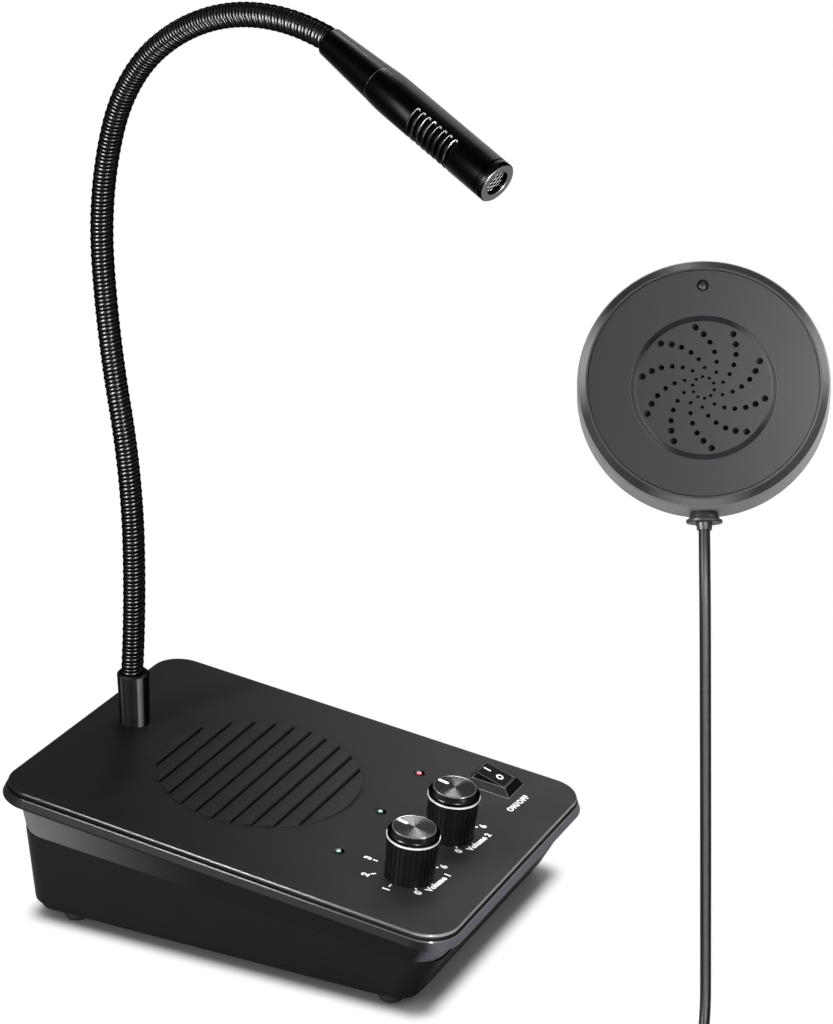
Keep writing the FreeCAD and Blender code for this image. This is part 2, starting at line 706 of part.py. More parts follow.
def neck_tube(number):
    arcs = section_arcs(number)
    edges = []
    for start, middle, end in arcs:
        points = [neck_point(*station[:2]) for station in (start, middle, end)]
        edges.append(Part.Arc(*points).toShape())
    start = arcs[0][0]
    circle = Part.makeCircle(NECK_RADIUS, neck_point(*start[:2]), neck_direction(start[2]))
    return Part.Wire(edges).makePipeShell([Part.Wire(circle)], True, True)


def joint_socket(station):
    """What a hinged piece leaves free around the ball below it."""
    point, direction = neck_point(*station[:2]), neck_direction(station[2])
    ball = Part.makeSphere(JOINT_SOCKET_RADIUS, point)
    rim = Part.makeCylinder(3 * NECK_RADIUS, JOINT_RIM + 4, point - direction * 4, direction)
    return ball.fuse(rim)


def neck_section(number):
    section = neck_tube(number)
    arcs = section_arcs(number)
    if number == 1:
        start = arcs[0][0]
        direction = neck_direction(start[2])
        root = Part.makeCylinder(NECK_RADIUS, 12, neck_point(*start[:2]) - direction * 12, direction)
        section = section.fuse(root)
    else:
        section = section.cut(joint_socket(arcs[0][0]))
    end = arcs[-1][2]
    return section.fuse(Part.makeSphere(JOINT_BALL_RADIUS, neck_point(*end[:2]))).removeSplitter()


def neck_ferrule():
    edge = 0.6
    body = turned([(0, 40), (FERRULE_FOOT_RADIUS, 40), (FERRULE_FOOT_RADIUS, 49),
                   (FERRULE_TOP_RADIUS, FERRULE_TOP - edge), (FERRULE_TOP_RADIUS - edge, FERRULE_TOP),
                   (0, FERRULE_TOP)])
    body = body.translated(Vector(FERRULE_X, FERRULE_Y, 0)).cut(below(PANEL_FRAME))
    stud = disc(4.7, 37, 52, FERRULE_X, FERRULE_Y)
    wire_way = disc(2.2, 36, 58, FERRULE_X, FERRULE_Y)
    return body.fuse(stud).cut(wire_way).cut(neck_section(1))


def neck_nut():
    nut = hexagon(14.0, 39.4, 43.2, FERRULE_X, FERRULE_Y).fuse(disc(8.5, 43.2, 44.0, FERRULE_X, FERRULE_Y))
    return nut.cut(disc(4.7, 39, 45, FERRULE_X, FERRULE_Y))


# Microphone, drawn along z from its rear end

def mic_frame():
    direction = neck_direction(MIC_HEADING)
    side = UP.cross(direction)
    side.normalize()
    end = NECK_TRACK[-1][2]
    start = neck_point(*end[:2]) + direction * JOINT_RIM
    return Placement(start, Rotation(side, direction.cross(side), direction, "ZXY"))


MIC_FRAME = mic_frame()


def mic_tail():
    tail = turned([(0, 0), (MIC_REAR_RADIUS - 0.4, 0), (MIC_REAR_RADIUS, 0.5), (MIC_SEAM_RADIUS, MIC_SEAM),
                   (4.9, MIC_SEAM), (3.4, 8.0), (0, 8.0)])
    pivot = NECK_TRACK[-1][2]
    return placed(tail, MIC_FRAME).cut(joint_socket((pivot[0], pivot[1], MIC_HEADING)))


def mic_slots():
    """Curved slots round half of the barrel, on its lower right side."""
    turned_away = Placement(HERE, Rotation(UP, MIC_SLOT_TURN))
    cuts = []
    for index in range(MIC_SLOT_COUNT):
        low = MIC_FIRST_SLOT + MIC_SLOT_PITCH * index
        band = ring(MIC_RADIUS + 1, MIC_RADIUS - 1.6, low, low + MIC_SLOT_WIDTH)
        cuts.append(placed(band.cut(box(-10, 10, 0, 10, low - 1, low + 3)), turned_away))
    return cuts


def mic_barrel():
    barrel = turned([(MIC_SEAM_RADIUS, MIC_SEAM), (MIC_RADIUS, MIC_SEAM + 9), (MIC_RADIUS, MIC_GROOVE - 0.3),
                     (MIC_RADIUS - 0.35, MIC_GROOVE), (MIC_RADIUS, MIC_GROOVE + 0.3),
                     (MIC_RADIUS, MIC_BARREL_END), (MIC_BORE_RADIUS, MIC_BARREL_END),
                     (MIC_BORE_RADIUS, MIC_SEAM + 9), (4.9, MIC_SEAM)])
    return placed(barrel.cut(group(mic_slots())), MIC_FRAME)


def mic_end_ring():
    end = turned([(MIC_OPENING_RADIUS, MIC_BARREL_END), (MIC_RADIUS, MIC_BARREL_END),
                  (MIC_RADIUS, MIC_LENGTH - 0.4),
                  (MIC_RADIUS - 0.4, MIC_LENGTH), (MIC_OPENING_RADIUS + 0.5, MIC_LENGTH),
                  (MIC_OPENING_RADIUS, MIC_LENGTH - 0.5)])
    return placed(end, MIC_FRAME)


def mic_mesh():
    return placed(disc(MIC_BORE_RADIUS, MIC_BARREL_END - MIC_MESH_THICKNESS, MIC_BARREL_END), MIC_FRAME)


def mic_capsule():
    return placed(disc(MIC_BORE_RADIUS, 63.0, MIC_BARREL_END - MIC_MESH_THICKNESS), MIC_FRAME)


# Outer unit, drawn with z out of its face and y up the face

def disc_screw_places():
    return [polar(33.0, 45 + 90 * quarter) for quarter in range(4)]


def sound_holes():
    holes = []
    for radius, turn, hole_radius in SOUND_HOLE_RINGS:
        for arm in range(SOUND_HOLE_ARMS):
            x, y = polar(radius, 90 - turn - 36 * arm)
            holes.append(disc(hole_radius, -4, 1, x, y - DISC_FEATURE_DROP))
    return holes


def outer_housing():
    shell = turned([(34.6, 0), (DISC_FACE_RADIUS, 0), (DISC_FACE_RADIUS + 2.2, -1.8), (DISC_RADIUS, -3.2),
                    (DISC_BACK_RADIUS, -DISC_DEPTH), (DISC_PLATE_RADIUS, -DISC_DEPTH),
                    (DISC_PLATE_RADIUS, -15), (DISC_RADIUS - DISC_WALL, -15), (DISC_RADIUS - DISC_WALL, -4),
                    (33.0, -4), (33.0, -2.2), (34.6, -2.2)])
    bosses = [disc(2.8, -15, -4, x, y) for x, y in disc_screw_places()]
    shell = joined([shell] + bosses)
    cuts = [disc(1.1, -16, -6, x, y) for x, y in disc_screw_places()]
    cuts.append(Part.makeCylinder(4.0, 12, Vector(0, -30, -GLAND_DEPTH), Vector(0, -1, 0)))
    return shell.cut(group(cuts))


def outer_face():
    plate = turned([(0, 0), (34.2, 0), (34.6, -0.4), (34.6, -2.2), (0, -2.2)])
    groove = ring(DISC_GROOVE_RADIUS, DISC_GROOVE_RADIUS - DISC_GROOVE_WIDTH, -0.8, 1, 0, -DISC_FEATURE_DROP)
    cuts = sound_holes() + [groove, disc(1.8, -4, 1, 0, DISC_MIC_HEIGHT)]
    return plate.cut(group(cuts))


def outer_back():
    plate = disc(DISC_PLATE_RADIUS, -DISC_DEPTH, -15)
    cuts = []
    for x, y in disc_screw_places():
        cuts.append(disc(1.3, -18, -14, x, y))
        cuts.append(disc(2.4, -18, -15.6, x, y))
    return plate.cut(group(cuts))


def outer_pad():
    return disc(34.0, -DISC_DEPTH - PAD_THICKNESS, -DISC_DEPTH)


def outer_screws():
    screws = []
    for x, y in disc_screw_places():
        screws.append(disc(2.2, -17, -15.6, x, y).fuse(disc(1.1, -15.6, -6.5, x, y)))
    return group(screws)


def outer_speaker():
    flange = ring(24.0, 20.0, -3.6, -2.2)
    basket = turned([(20.0, -3.6), (21.0, -3.6), (11.0, -9.5), (5.0, -9.5), (5.0, -8.7), (10.4, -8.7)])
    magnet = disc(11.0, -13.4, -9.5)
    return joined([flange, basket, magnet]).translated(Vector(0, -DISC_FEATURE_DROP, 0))


def outer_cone():
    cone_shell = turned([(0, -5.6), (4.0, -6.4), (17.5, -3.6), (20.0, -3.4), (20.0, -3.0), (17.5, -3.2),
                         (4.0, -6.0), (0, -5.2)])
    return cone_shell.translated(Vector(0, -DISC_FEATURE_DROP, 0))


def outer_mic():
    return disc(3.0, -8.0, -2.2, 0, DISC_MIC_HEIGHT)


def outer_board():
    return box(-10, 10, 24.5, 32.5, -9.2, -8.0)


def outer_gland():
    axis = Vector(0, -1, 0)
    root = Vector(0, 0, -GLAND_DEPTH)
    shank = Part.makeCylinder(4.0, 8, root + axis * 31, axis)
    collar = Part.makeCylinder(5.5, 4.0, root + axis * 36.8, axis)
    crown = [edge for edge in collar.Edges if edge.BoundBox.YMax < -40.7]
    collar = collar.makeFillet(1.6, crown)
    step = Part.makeCylinder(3.9, 1.2, root + axis * 40.8, axis)
    sleeve = Part.makeCone(2.9, 2.3, GLAND_TIP - 42.0, root + axis * 42.0, axis)
    return joined([shank, collar, step, sleeve]).cut(outer_housing())


# Cord of the outer unit

def rounded_path(points, name):
    """Straight runs with a tangent arc at each inner point; prints the arcs' radii."""
    edges = []
    radii = []
    leave = points[0]
    for before, corner, after in zip(points, points[1:], points[2:]):
        back, ahead = before - corner, after - corner
        half_turn = (math.pi - back.getAngle(ahead)) / 2
        reach = BEND_SHARE * min(back.Length, ahead.Length)
        back.normalize()
        ahead.normalize()
        enter, leave_next = corner + back * reach, corner + ahead * reach
        radius = reach / math.tan(half_turn)
        radii.append(round(radius, 1))
        inward = back + ahead
        inward.normalize()
        middle = corner + inward * (radius / math.cos(half_turn) - radius)
        edges.append(Part.LineSegment(leave, enter).toShape())
        edges.append(Part.Arc(enter, middle, leave_next).toShape())
        leave = leave_next
    edges.append(Part.LineSegment(leave, points[-1]).toShape())
    print(name, "bend radii", radii)
    return Part.Wire(edges)


def cord_tube(points, name):
    path = rounded_path(points, name)
    circle = Part.makeCircle(CORD_RADIUS, points[0], points[1] - points[0])
    tube = path.makePipeShell([Part.Wire(circle)], True, True)
    expected = math.pi * CORD_RADIUS ** 2 * path.Length
    print(name, "length", round(path.Length, 1), "volume share", round(tube.Volume / expected, 4))
    return tube


def cord_exit():
    return DISC_FRAME.multVec(Vector(0, -GLAND_TIP, -GLAND_DEPTH))


def outer_cord_coil():
    x, y = COIL_CENTRE
    coil = ring(COIL_OUTER_RADIUS, COIL_INNER_RADIUS, 0, COIL_HEIGHT, x, y)
    round_edges = [edge for edge in coil.Edges if edge.Length > 80]
    return coil.makeFillet(1.5, round_edges)


def outer_cord():
    """The two stretches of the cord that aren't coiled."""
    drop = cord_tube([cord_exit()] + [Vector(*point) for point in CORD_ROUTE], "cord")
    tail = cord_tube([Vector(*point) for point in TAIL_ROUTE], "tail")
    coil = outer_cord_coil()
    gland = placed(outer_gland(), DISC_FRAME)
    return group([drop.cut(coil).cut(gland), tail.cut(coil).cut(plug_body())])


def along_plug(shape):
    """A piece of the plug, drawn along z, laid down behind the cord's tail."""
    heading = Rotation(UP, PLUG_HEADING).multiply(Rotation(Vector(0, 1, 0), 90))
    return placed(shape, Placement(Vector(*TAIL_ROUTE[-1]), heading))


def plug_body():
    """Moulded grip with its tapered strain relief."""
    end = RELIEF_LENGTH + PLUG_LENGTH
    body = turned([(0, 0), (2.0, 0), (3.2, RELIEF_LENGTH), (PLUG_RADIUS, RELIEF_LENGTH + 0.8),
                   (PLUG_RADIUS, end - 0.8), (3.4, end), (0, end)])
    return along_plug(body)


def plug_pin():
    start = RELIEF_LENGTH + PLUG_LENGTH
    tip = start + PLUG_PIN_LENGTH
    neck = tip - 3.0
    return along_plug(turned([(0, start), (PLUG_PIN_RADIUS, start), (PLUG_PIN_RADIUS, neck - 0.4),
                              (1.2, neck), (1.7, neck + 0.9), (0.5, tip), (0, tip)]))


# Nodes

def panel_nodes():
    nodes = {"top_cover": top_cover(), "bottom_case": bottom_case(), "rubber_feet": rubber_feet(),
             "case_screws": case_screws(), "grille_cloth": grille_cloth(), "speaker_gasket": speaker_gasket(),
             "speaker_frame": speaker_frame(), "speaker_cone": speaker_cone(),
             "speaker_magnet": speaker_magnet(), "speaker_screws": speaker_screws(),
             "circuit_board": circuit_board(), "board_screws": board_screws(),
             "amplifier_chip": amplifier_chip(), "capacitors": capacitors(),
             "led_red": leds("red"), "leds_green": leds("green"), "control_nuts": control_nuts(),
             "switch_body": switch_body(), "switch_terminals": switch_terminals(),
             "switch_paddle": switch_paddle(), "socket_board": socket_board(),
             "power_socket": power_socket(), "unit_socket": unit_socket()}
    for side in KNOB_PLACES:
        nodes[side + "_control"] = control_body(side)
        nodes[side + "_shaft"] = shaft(side)
        nodes[side + "_knob"] = knob_body(side)
        nodes[side + "_knob_ring"] = knob_ring(side)
        nodes[side + "_knob_cap"] = knob_cap(side)
    return nodes


def neck_nodes():
    nodes = {"neck_ferrule": neck_ferrule(), "neck_nut": neck_nut(),
             "mic_tail": mic_tail(), "mic_barrel": mic_barrel(), "mic_end_ring": mic_end_ring(),
             "mic_mesh": mic_mesh(), "mic_capsule": mic_capsule()}
    for number in range(1, len(ARCS_PER_SECTION) + 1):
        nodes["neck_section_" + str(number)] = neck_section(number)
    return nodes


def outer_nodes():
    drawn = {"outer_housing": outer_housing(), "outer_face": outer_face(), "outer_back": outer_back(),
             "outer_pad": outer_pad(), "outer_screws": outer_screws(), "outer_speaker": outer_speaker(),
             "outer_cone": outer_cone(), "outer_mic": outer_mic(),
             "outer_board": outer_board(), "outer_gland": outer_gland()}
    nodes = {name: placed(shape, DISC_FRAME) for name, shape in drawn.items()}
    nodes["outer_cord"] = outer_cord()
    nodes["outer_cord_coil"] = outer_cord_coil()
    nodes["plug_body"] = plug_body()
    nodes["plug_pin"] = plug_pin()
    return nodes


def main():
    os.makedirs("parts", exist_ok=True)
    nodes = {}
    nodes.update(panel_nodes())
    nodes.update(neck_nodes())
    nodes.update(outer_nodes())
    for name, shape in nodes.items():
        if not shape.isValid():
            print("not valid:", name)
        shape.exportStep("parts/" + name + ".step")
    print(len(nodes), "nodes")


main()
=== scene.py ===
"""Teller window intercom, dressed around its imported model.

Lengths are in millimetres until they reach a mesh or a curve, where MM turns them into metres.
Angles are written in degrees.
"""

import math

import bmesh
import bpy
from mathutils import Matrix, Vector


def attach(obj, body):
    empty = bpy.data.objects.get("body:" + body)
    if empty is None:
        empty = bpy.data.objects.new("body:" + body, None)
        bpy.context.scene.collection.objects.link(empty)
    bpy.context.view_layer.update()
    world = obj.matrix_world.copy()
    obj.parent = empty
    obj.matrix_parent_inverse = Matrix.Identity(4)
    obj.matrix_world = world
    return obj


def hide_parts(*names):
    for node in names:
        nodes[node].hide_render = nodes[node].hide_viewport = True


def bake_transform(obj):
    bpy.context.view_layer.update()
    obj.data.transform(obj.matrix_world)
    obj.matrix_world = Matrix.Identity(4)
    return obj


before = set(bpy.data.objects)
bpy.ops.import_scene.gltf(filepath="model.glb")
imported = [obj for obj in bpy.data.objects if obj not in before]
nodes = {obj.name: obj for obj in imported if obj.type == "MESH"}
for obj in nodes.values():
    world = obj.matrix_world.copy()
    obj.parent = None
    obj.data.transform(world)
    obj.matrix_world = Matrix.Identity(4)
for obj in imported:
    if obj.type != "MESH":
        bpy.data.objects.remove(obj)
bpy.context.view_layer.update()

MM = 0.001
UP = Vector((0, 0, 1))


# Frames

def turned(angle, axis):
    return Matrix.Rotation(math.radians(angle), 4, axis)


def moved(x, y, z=0.0):
    return Matrix.Translation((x, y, z))


def framed(origin, across, rise, out):
    """Frame at an origin from its three unit axes."""
    return Matrix.Translation(origin) @ Matrix((across, rise, out)).transposed().to_4x4()


# Control panel: x across, y up the slope, z above its surface
PANEL_SLOPE = 6.26
PANEL_HEIGHT = 42.0
PANEL = moved(0, 0, PANEL_HEIGHT) @ turned(PANEL_SLOPE, "X")
PANEL_NORMAL = PANEL.to_3x3() @ UP
PANEL_FRONT = PANEL.to_3x3() @ Vector((0, -1, 0))
GRILLE_CENTRE = PANEL @ Vector((0, 14.7, 0))
GRILLE_RADIUS = 36.0

KNOB_PLACES = {"left": (-29.2, -58.3), "right": (2.2, -58.2)}
RED_LED = (33.4, -31.4)
GREEN_LEDS = [(1.9, -31.9), (-29.3, -31.9)]
SWITCH_CENTRE = (42.3, -56.1)
PADDLE_PIVOT = 1.66
PADDLE_TILT = 12.0
PADDLE_TOP = 2.2
PADDLE = (PANEL @ moved(*SWITCH_CENTRE, PADDLE_PIVOT)
          @ turned(PADDLE_TILT, "X") @ moved(0, 0, PADDLE_TOP))

# Gooseneck: arcs in one upright plane through the ferrule's axis
FERRULE = Vector((6.6, 68.9, 0))
FERRULE_TOP = 68.8
NECK_PLANE = math.radians(16.8)
NECK_START = -0.4
NECK_ARCS = [50.0, 50.0, 50.0, 50.0, 40.0, 30.0, 48.6]
NECK_HEADINGS = [6.9, 1.0, -10.8, -2.3, 20.7, 54.0, 72.7, 104.0]
NECK_FORWARD = Vector((-math.sin(NECK_PLANE), -math.cos(NECK_PLANE), 0))
NECK_SIDE = Vector((-NECK_FORWARD.y, NECK_FORWARD.x, 0))
MIC_HEADING = math.radians(114.6)
MIC_SETBACK = 2.1

# Outer disc
DISC_CENTRE = Vector((-19.2, -151.2, 221.0))
DISC_AZIMUTH = math.radians(200.2)
DISC_TILT = math.radians(30.8)
DISC_ROLL = 2.6


def neck_station(distance):
    """Place along, height and heading of the neck's centre line at a distance from its foot."""
    along, height = NECK_START, FERRULE_TOP
    for index, length in enumerate(NECK_ARCS):
        first = math.radians(NECK_HEADINGS[index])
        last = math.radians(NECK_HEADINGS[index + 1])
        radius = length / (last - first)
        heading = first + (last - first) * min(distance, length) / length
        end_along = along + radius * (math.cos(first) - math.cos(heading))
        end_height = height + radius * (math.sin(heading) - math.sin(first))
        if distance <= length or index == len(NECK_ARCS) - 1:
            beyond = max(0.0, distance - length)
            return (end_along + beyond * math.sin(heading),
                    end_height + beyond * math.cos(heading), heading)
        distance -= length
        along, height = end_along, end_height


def neck_place(along, height):
    return FERRULE + NECK_FORWARD * along + UP * height


def mic_frame():
    """z along the microphone from its rear end."""
    direction = NECK_FORWARD * math.sin(MIC_HEADING) + UP * math.cos(MIC_HEADING)
    side = UP.cross(direction).normalized()
    along, height, _ = neck_station(sum(NECK_ARCS))
    start = neck_place(along, height) + direction * MIC_SETBACK
    return framed(start, side, direction.cross(side), direction)


def disc_frame():
    """z out of the disc's face, y up it."""
    level = math.cos(DISC_TILT)
    out = Vector((level * math.cos(DISC_AZIMUTH), level * math.sin(DISC_AZIMUTH),
                  math.sin(DISC_TILT)))
    rise = UP - out * out.z
    rise.normalize()
    return framed(DISC_CENTRE, rise.cross(out), rise, out) @ turned(DISC_ROLL, "Z")


MIC = mic_frame()
MIC_AXIS = MIC.to_3x3() @ UP
DISC = disc_frame()
DISC_OUT = DISC.to_3x3() @ UP


# Camera and lamps

CAMERA_PLACE = Vector((-805.5, -440.5, 521.3))
CAMERA_LOOK = Vector((0.831, 0.4065, -0.3797))
CAMERA_LENS = 104.28
CAMERA_SENSOR = 36.0

# Each lamp: name, place in metres, width, length, power
LAMPS = [("left_lamp", (-0.95, 0.42, 0.40), 0.12, 0.6, 12),
         ("right_lamp", (-0.80, -0.78, 0.32), 0.12, 0.5, 3),
         ("rear_lamp", (-0.25, 0.65, 0.85), 0.3, 0.3, 1.5),
         ("disc_lamp", (-0.027, -0.250, 0.252), 0.05, 0.05, 0.2)]
# Lamps that don't show in gloss
WASHES = [("back_wash", (0.81, -0.04, 1.0), 0.3, 0.5, 6),
          ("top_wash", (0.42, 0.20, 1.1), 0.12, 0.25, 4)]
# Lamps that only show in gloss
GLINTS = [("left_glint", (-0.96, 0.42, 0.40), 0.2, 0.6, 120),
          ("right_glint", (-0.81, -0.79, 0.32), 0.2, 0.5, 85),
          ("top_glint", (0.43, 0.20, 1.12), 0.12, 0.25, 14),
          ("cap_glint", (0.089, -0.032, 0.174), 0.028, 0.028, 0.07)]
LAMP_TARGET = Vector((0, -0.03, 0.08))


def added(name, data):
    """New object in the scene."""
    thing = bpy.data.objects.new(name, data)
    bpy.context.scene.collection.objects.link(thing)
    return thing


def aimed(place, direction):
    """Matrix in metres of a camera or lamp that looks along a direction."""
    return Matrix.Translation(place) @ direction.to_track_quat("-Z", "Y").to_matrix().to_4x4()


def add_camera():
    data = bpy.data.cameras.new("camera")
    data.lens = CAMERA_LENS
    data.sensor_width = CAMERA_SENSOR
    data.clip_start = 0.01
    data.clip_end = 50.0
    camera = added("camera", data)
    camera.matrix_world = aimed(CAMERA_PLACE * MM, CAMERA_LOOK)
    bpy.context.scene.camera = camera


def add_lamp(name, place, width, length, power):
    """Rectangular soft lamp that looks at the middle of the object, its length upright."""
    data = bpy.data.lights.new(name, "AREA")
    data.shape = "RECTANGLE"
    data.size = width
    data.size_y = length
    data.energy = power
    lamp = added(name, data)
    lamp.visible_camera = False
    lamp.matrix_world = aimed(Vector(place), LAMP_TARGET - Vector(place))
    return lamp


def add_lamps():
    for lamp in LAMPS:
        add_lamp(*lamp)
    for wash in WASHES:
        add_lamp(*wash).visible_glossy = False
    for glint in GLINTS:
        add_lamp(*glint).visible_diffuse = False


# Shader maths

class Value:
    """A socket of a node tree, usable in arithmetic."""

    def __init__(self, owner, socket):
        self.owner = owner
        self.socket = socket

    def maths(self, operation, *others):
        return self.owner.node("ShaderNodeMath", {"operation": operation}, [self, *others])

    def __add__(self, other):
        return self.maths("ADD", other)

    def __sub__(self, other):
        return self.maths("SUBTRACT", other)

    def __mul__(self, other):
        return self.maths("MULTIPLY", other)

    def __truediv__(self, other):
        return self.maths("DIVIDE", other)

    def __rsub__(self, other):
        return self.owner.node("ShaderNodeMath", {"operation": "SUBTRACT"}, [other, self])

    def __rtruediv__(self, other):
        return self.owner.node("ShaderNodeMath", {"operation": "DIVIDE"}, [other, self])

    def __gt__(self, other):
        return self.maths("GREATER_THAN", other)

    def __lt__(self, other):
        return self.maths("LESS_THAN", other)

    __radd__ = __add__
    __rmul__ = __mul__

    def step(self, low, high):
        """0 below low, 1 above high, smooth between; low may be the higher one."""
        return self.owner.node("ShaderNodeMapRange", {"interpolation_type": "SMOOTHSTEP"},
                               {"Value": self, "From Min": low, "From Max": high})


class NodeTree:
    """Nodes of a material or of the world."""

    def __init__(self, owner):
        owner.use_nodes = True
        self.owner = owner
        self.tree = owner.node_tree
        self.tree.nodes.clear()

    def node(self, kind, settings=None, inputs=(), output=0):
        made = self.tree.nodes.new(kind)
        for key, value in (settings or {}).items():
            setattr(made, key, value)
        pairs = inputs.items() if isinstance(inputs, dict) else enumerate(inputs)
        for key, value in pairs:
            if isinstance(value, Value):
                self.tree.links.new(value.socket, made.inputs[key])
            else:
                made.inputs[key].default_value = value
        return Value(self, made.outputs[output]) if made.outputs else None

    def done(self, surface, output="ShaderNodeOutputMaterial"):
        self.node(output, None, {"Surface": surface})
        return self.owner


class Finish(NodeTree):
    """A material under construction."""

    def __init__(self, name):
        super().__init__(bpy.data.materials.new(name))
        self.place = self.node("ShaderNodeTexCoord", output="Object")

    def noise(self, size, detail=2.0, roughness=0.5, stretch=None):
        """Noise whose grains are about size millimetres across."""
        place = self.place
        if stretch:
            place = self.node("ShaderNodeMapping", None, {"Vector": place, "Scale": stretch})
        return self.node("ShaderNodeTexNoise", None, {
            "Vector": place, "Scale": 1 / (size * MM), "Detail": detail,
            "Roughness": roughness}, "Fac")

    def cells(self, size):
        """Distance from the middles of cells that are about size millimetres across."""
        return self.node("ShaderNodeTexVoronoi", None,
                         {"Vector": self.place, "Scale": 1 / (size * MM)}, "Distance")

    def mix(self, factor, first, second):
        """Colour between two colours."""
        return self.node("ShaderNodeMix", {"data_type": "RGBA"},
                         {0: factor, 6: first, 7: second}, 2)

    def vector(self, operation, *vectors, output="Vector"):
        return self.node("ShaderNodeVectorMath", {"operation": operation}, vectors, output)

    def dot(self, first, second):
        return self.vector("DOT_PRODUCT", first, second, output="Value")

    def along(self, direction, origin=(0, 0, 0)):
        """Distance in millimetres from origin along a direction, both in the object's frame."""
        away = self.vector("SUBTRACT", self.place, Vector(origin) * MM)
        return self.dot(away, Vector(direction)) / MM

    def from_axis(self, direction, origin):
        """Distance in millimetres from the line through origin along a unit direction."""
        away = self.vector("SUBTRACT", self.place, Vector(origin) * MM)
        across = self.vector("CROSS_PRODUCT", away, Vector(direction))
        return self.vector("LENGTH", across, output="Value") / MM

    def from_led(self, place):
        """Distance in millimetres from the axis of a LED at a place of the panel."""
        return self.from_axis(PANEL_NORMAL, PANEL @ Vector((*place, 0)))

    def facing(self, direction):
        """How much the surface faces a direction, from -1 to 1."""
        normal = self.node("ShaderNodeTexCoord", output="Normal")
        return self.dot(normal, Vector(direction))

    def edges(self, reach):
        """1 within reach millimetres of an edge."""
        flat = self.node("ShaderNodeNewGeometry", output="True Normal")
        rounded = self.node("ShaderNodeBevel", {"samples": 8}, {"Radius": reach * MM})
        return self.dot(flat, rounded).step(0.99, 0.9)

    def bump(self, height, depth):
        """Normal with the height's relief, depth millimetres deep."""
        return self.node("ShaderNodeBump", None, {"Height": height, "Distance": depth * MM})

    def principled(self, **sockets):
        names = {key.replace("_", " ").title().replace("Ior", "IOR"): value
                 for key, value in sockets.items()}
        return self.node("ShaderNodeBsdfPrincipled", None, names)

    def finished(self, **sockets):
        """The material, from the sockets of its one shader."""
        return self.done(self.principled(**sockets))


def grey(level):
    return (level, level, level, 1.0)


# Plastics

# Heights on the cover's rim, from the panel's surface down
LIP_TOP, LIP_FOOT = -0.02, -1.15
FLARE_TOP, FLARE_FOOT = -2.2, -2.9
BAND_TOP = -5.8
# Radius of the painted shade round each LED
LED_SHADE_RADIUS = 2.05
# Direction in which the panel's painted sheen grows lighter
PAINTED_SHEEN_ACROSS_PANEL = (0.57, -0.82, 0)
FRONT_CORNER = (-0.6, -0.8, 0)


def moulded(name, dark, light, roughness, specular, grain=0.3, depth=0.012):
    """Satin moulded plastic: faint cloudiness in tone and gloss over a fine grain."""
    f = Finish(name)
    cloud = f.noise(14, 3, 0.6)
    fine = f.noise(grain, 2, 0.6)
    rough = roughness - 0.05 + 0.06 * f.noise(5, 4, 0.7) + 0.05 * fine
    return f.finished(base_color=f.mix(cloud, grey(dark), grey(light)), roughness=rough,
                      specular_ior_level=specular, normal=f.bump(fine, depth))


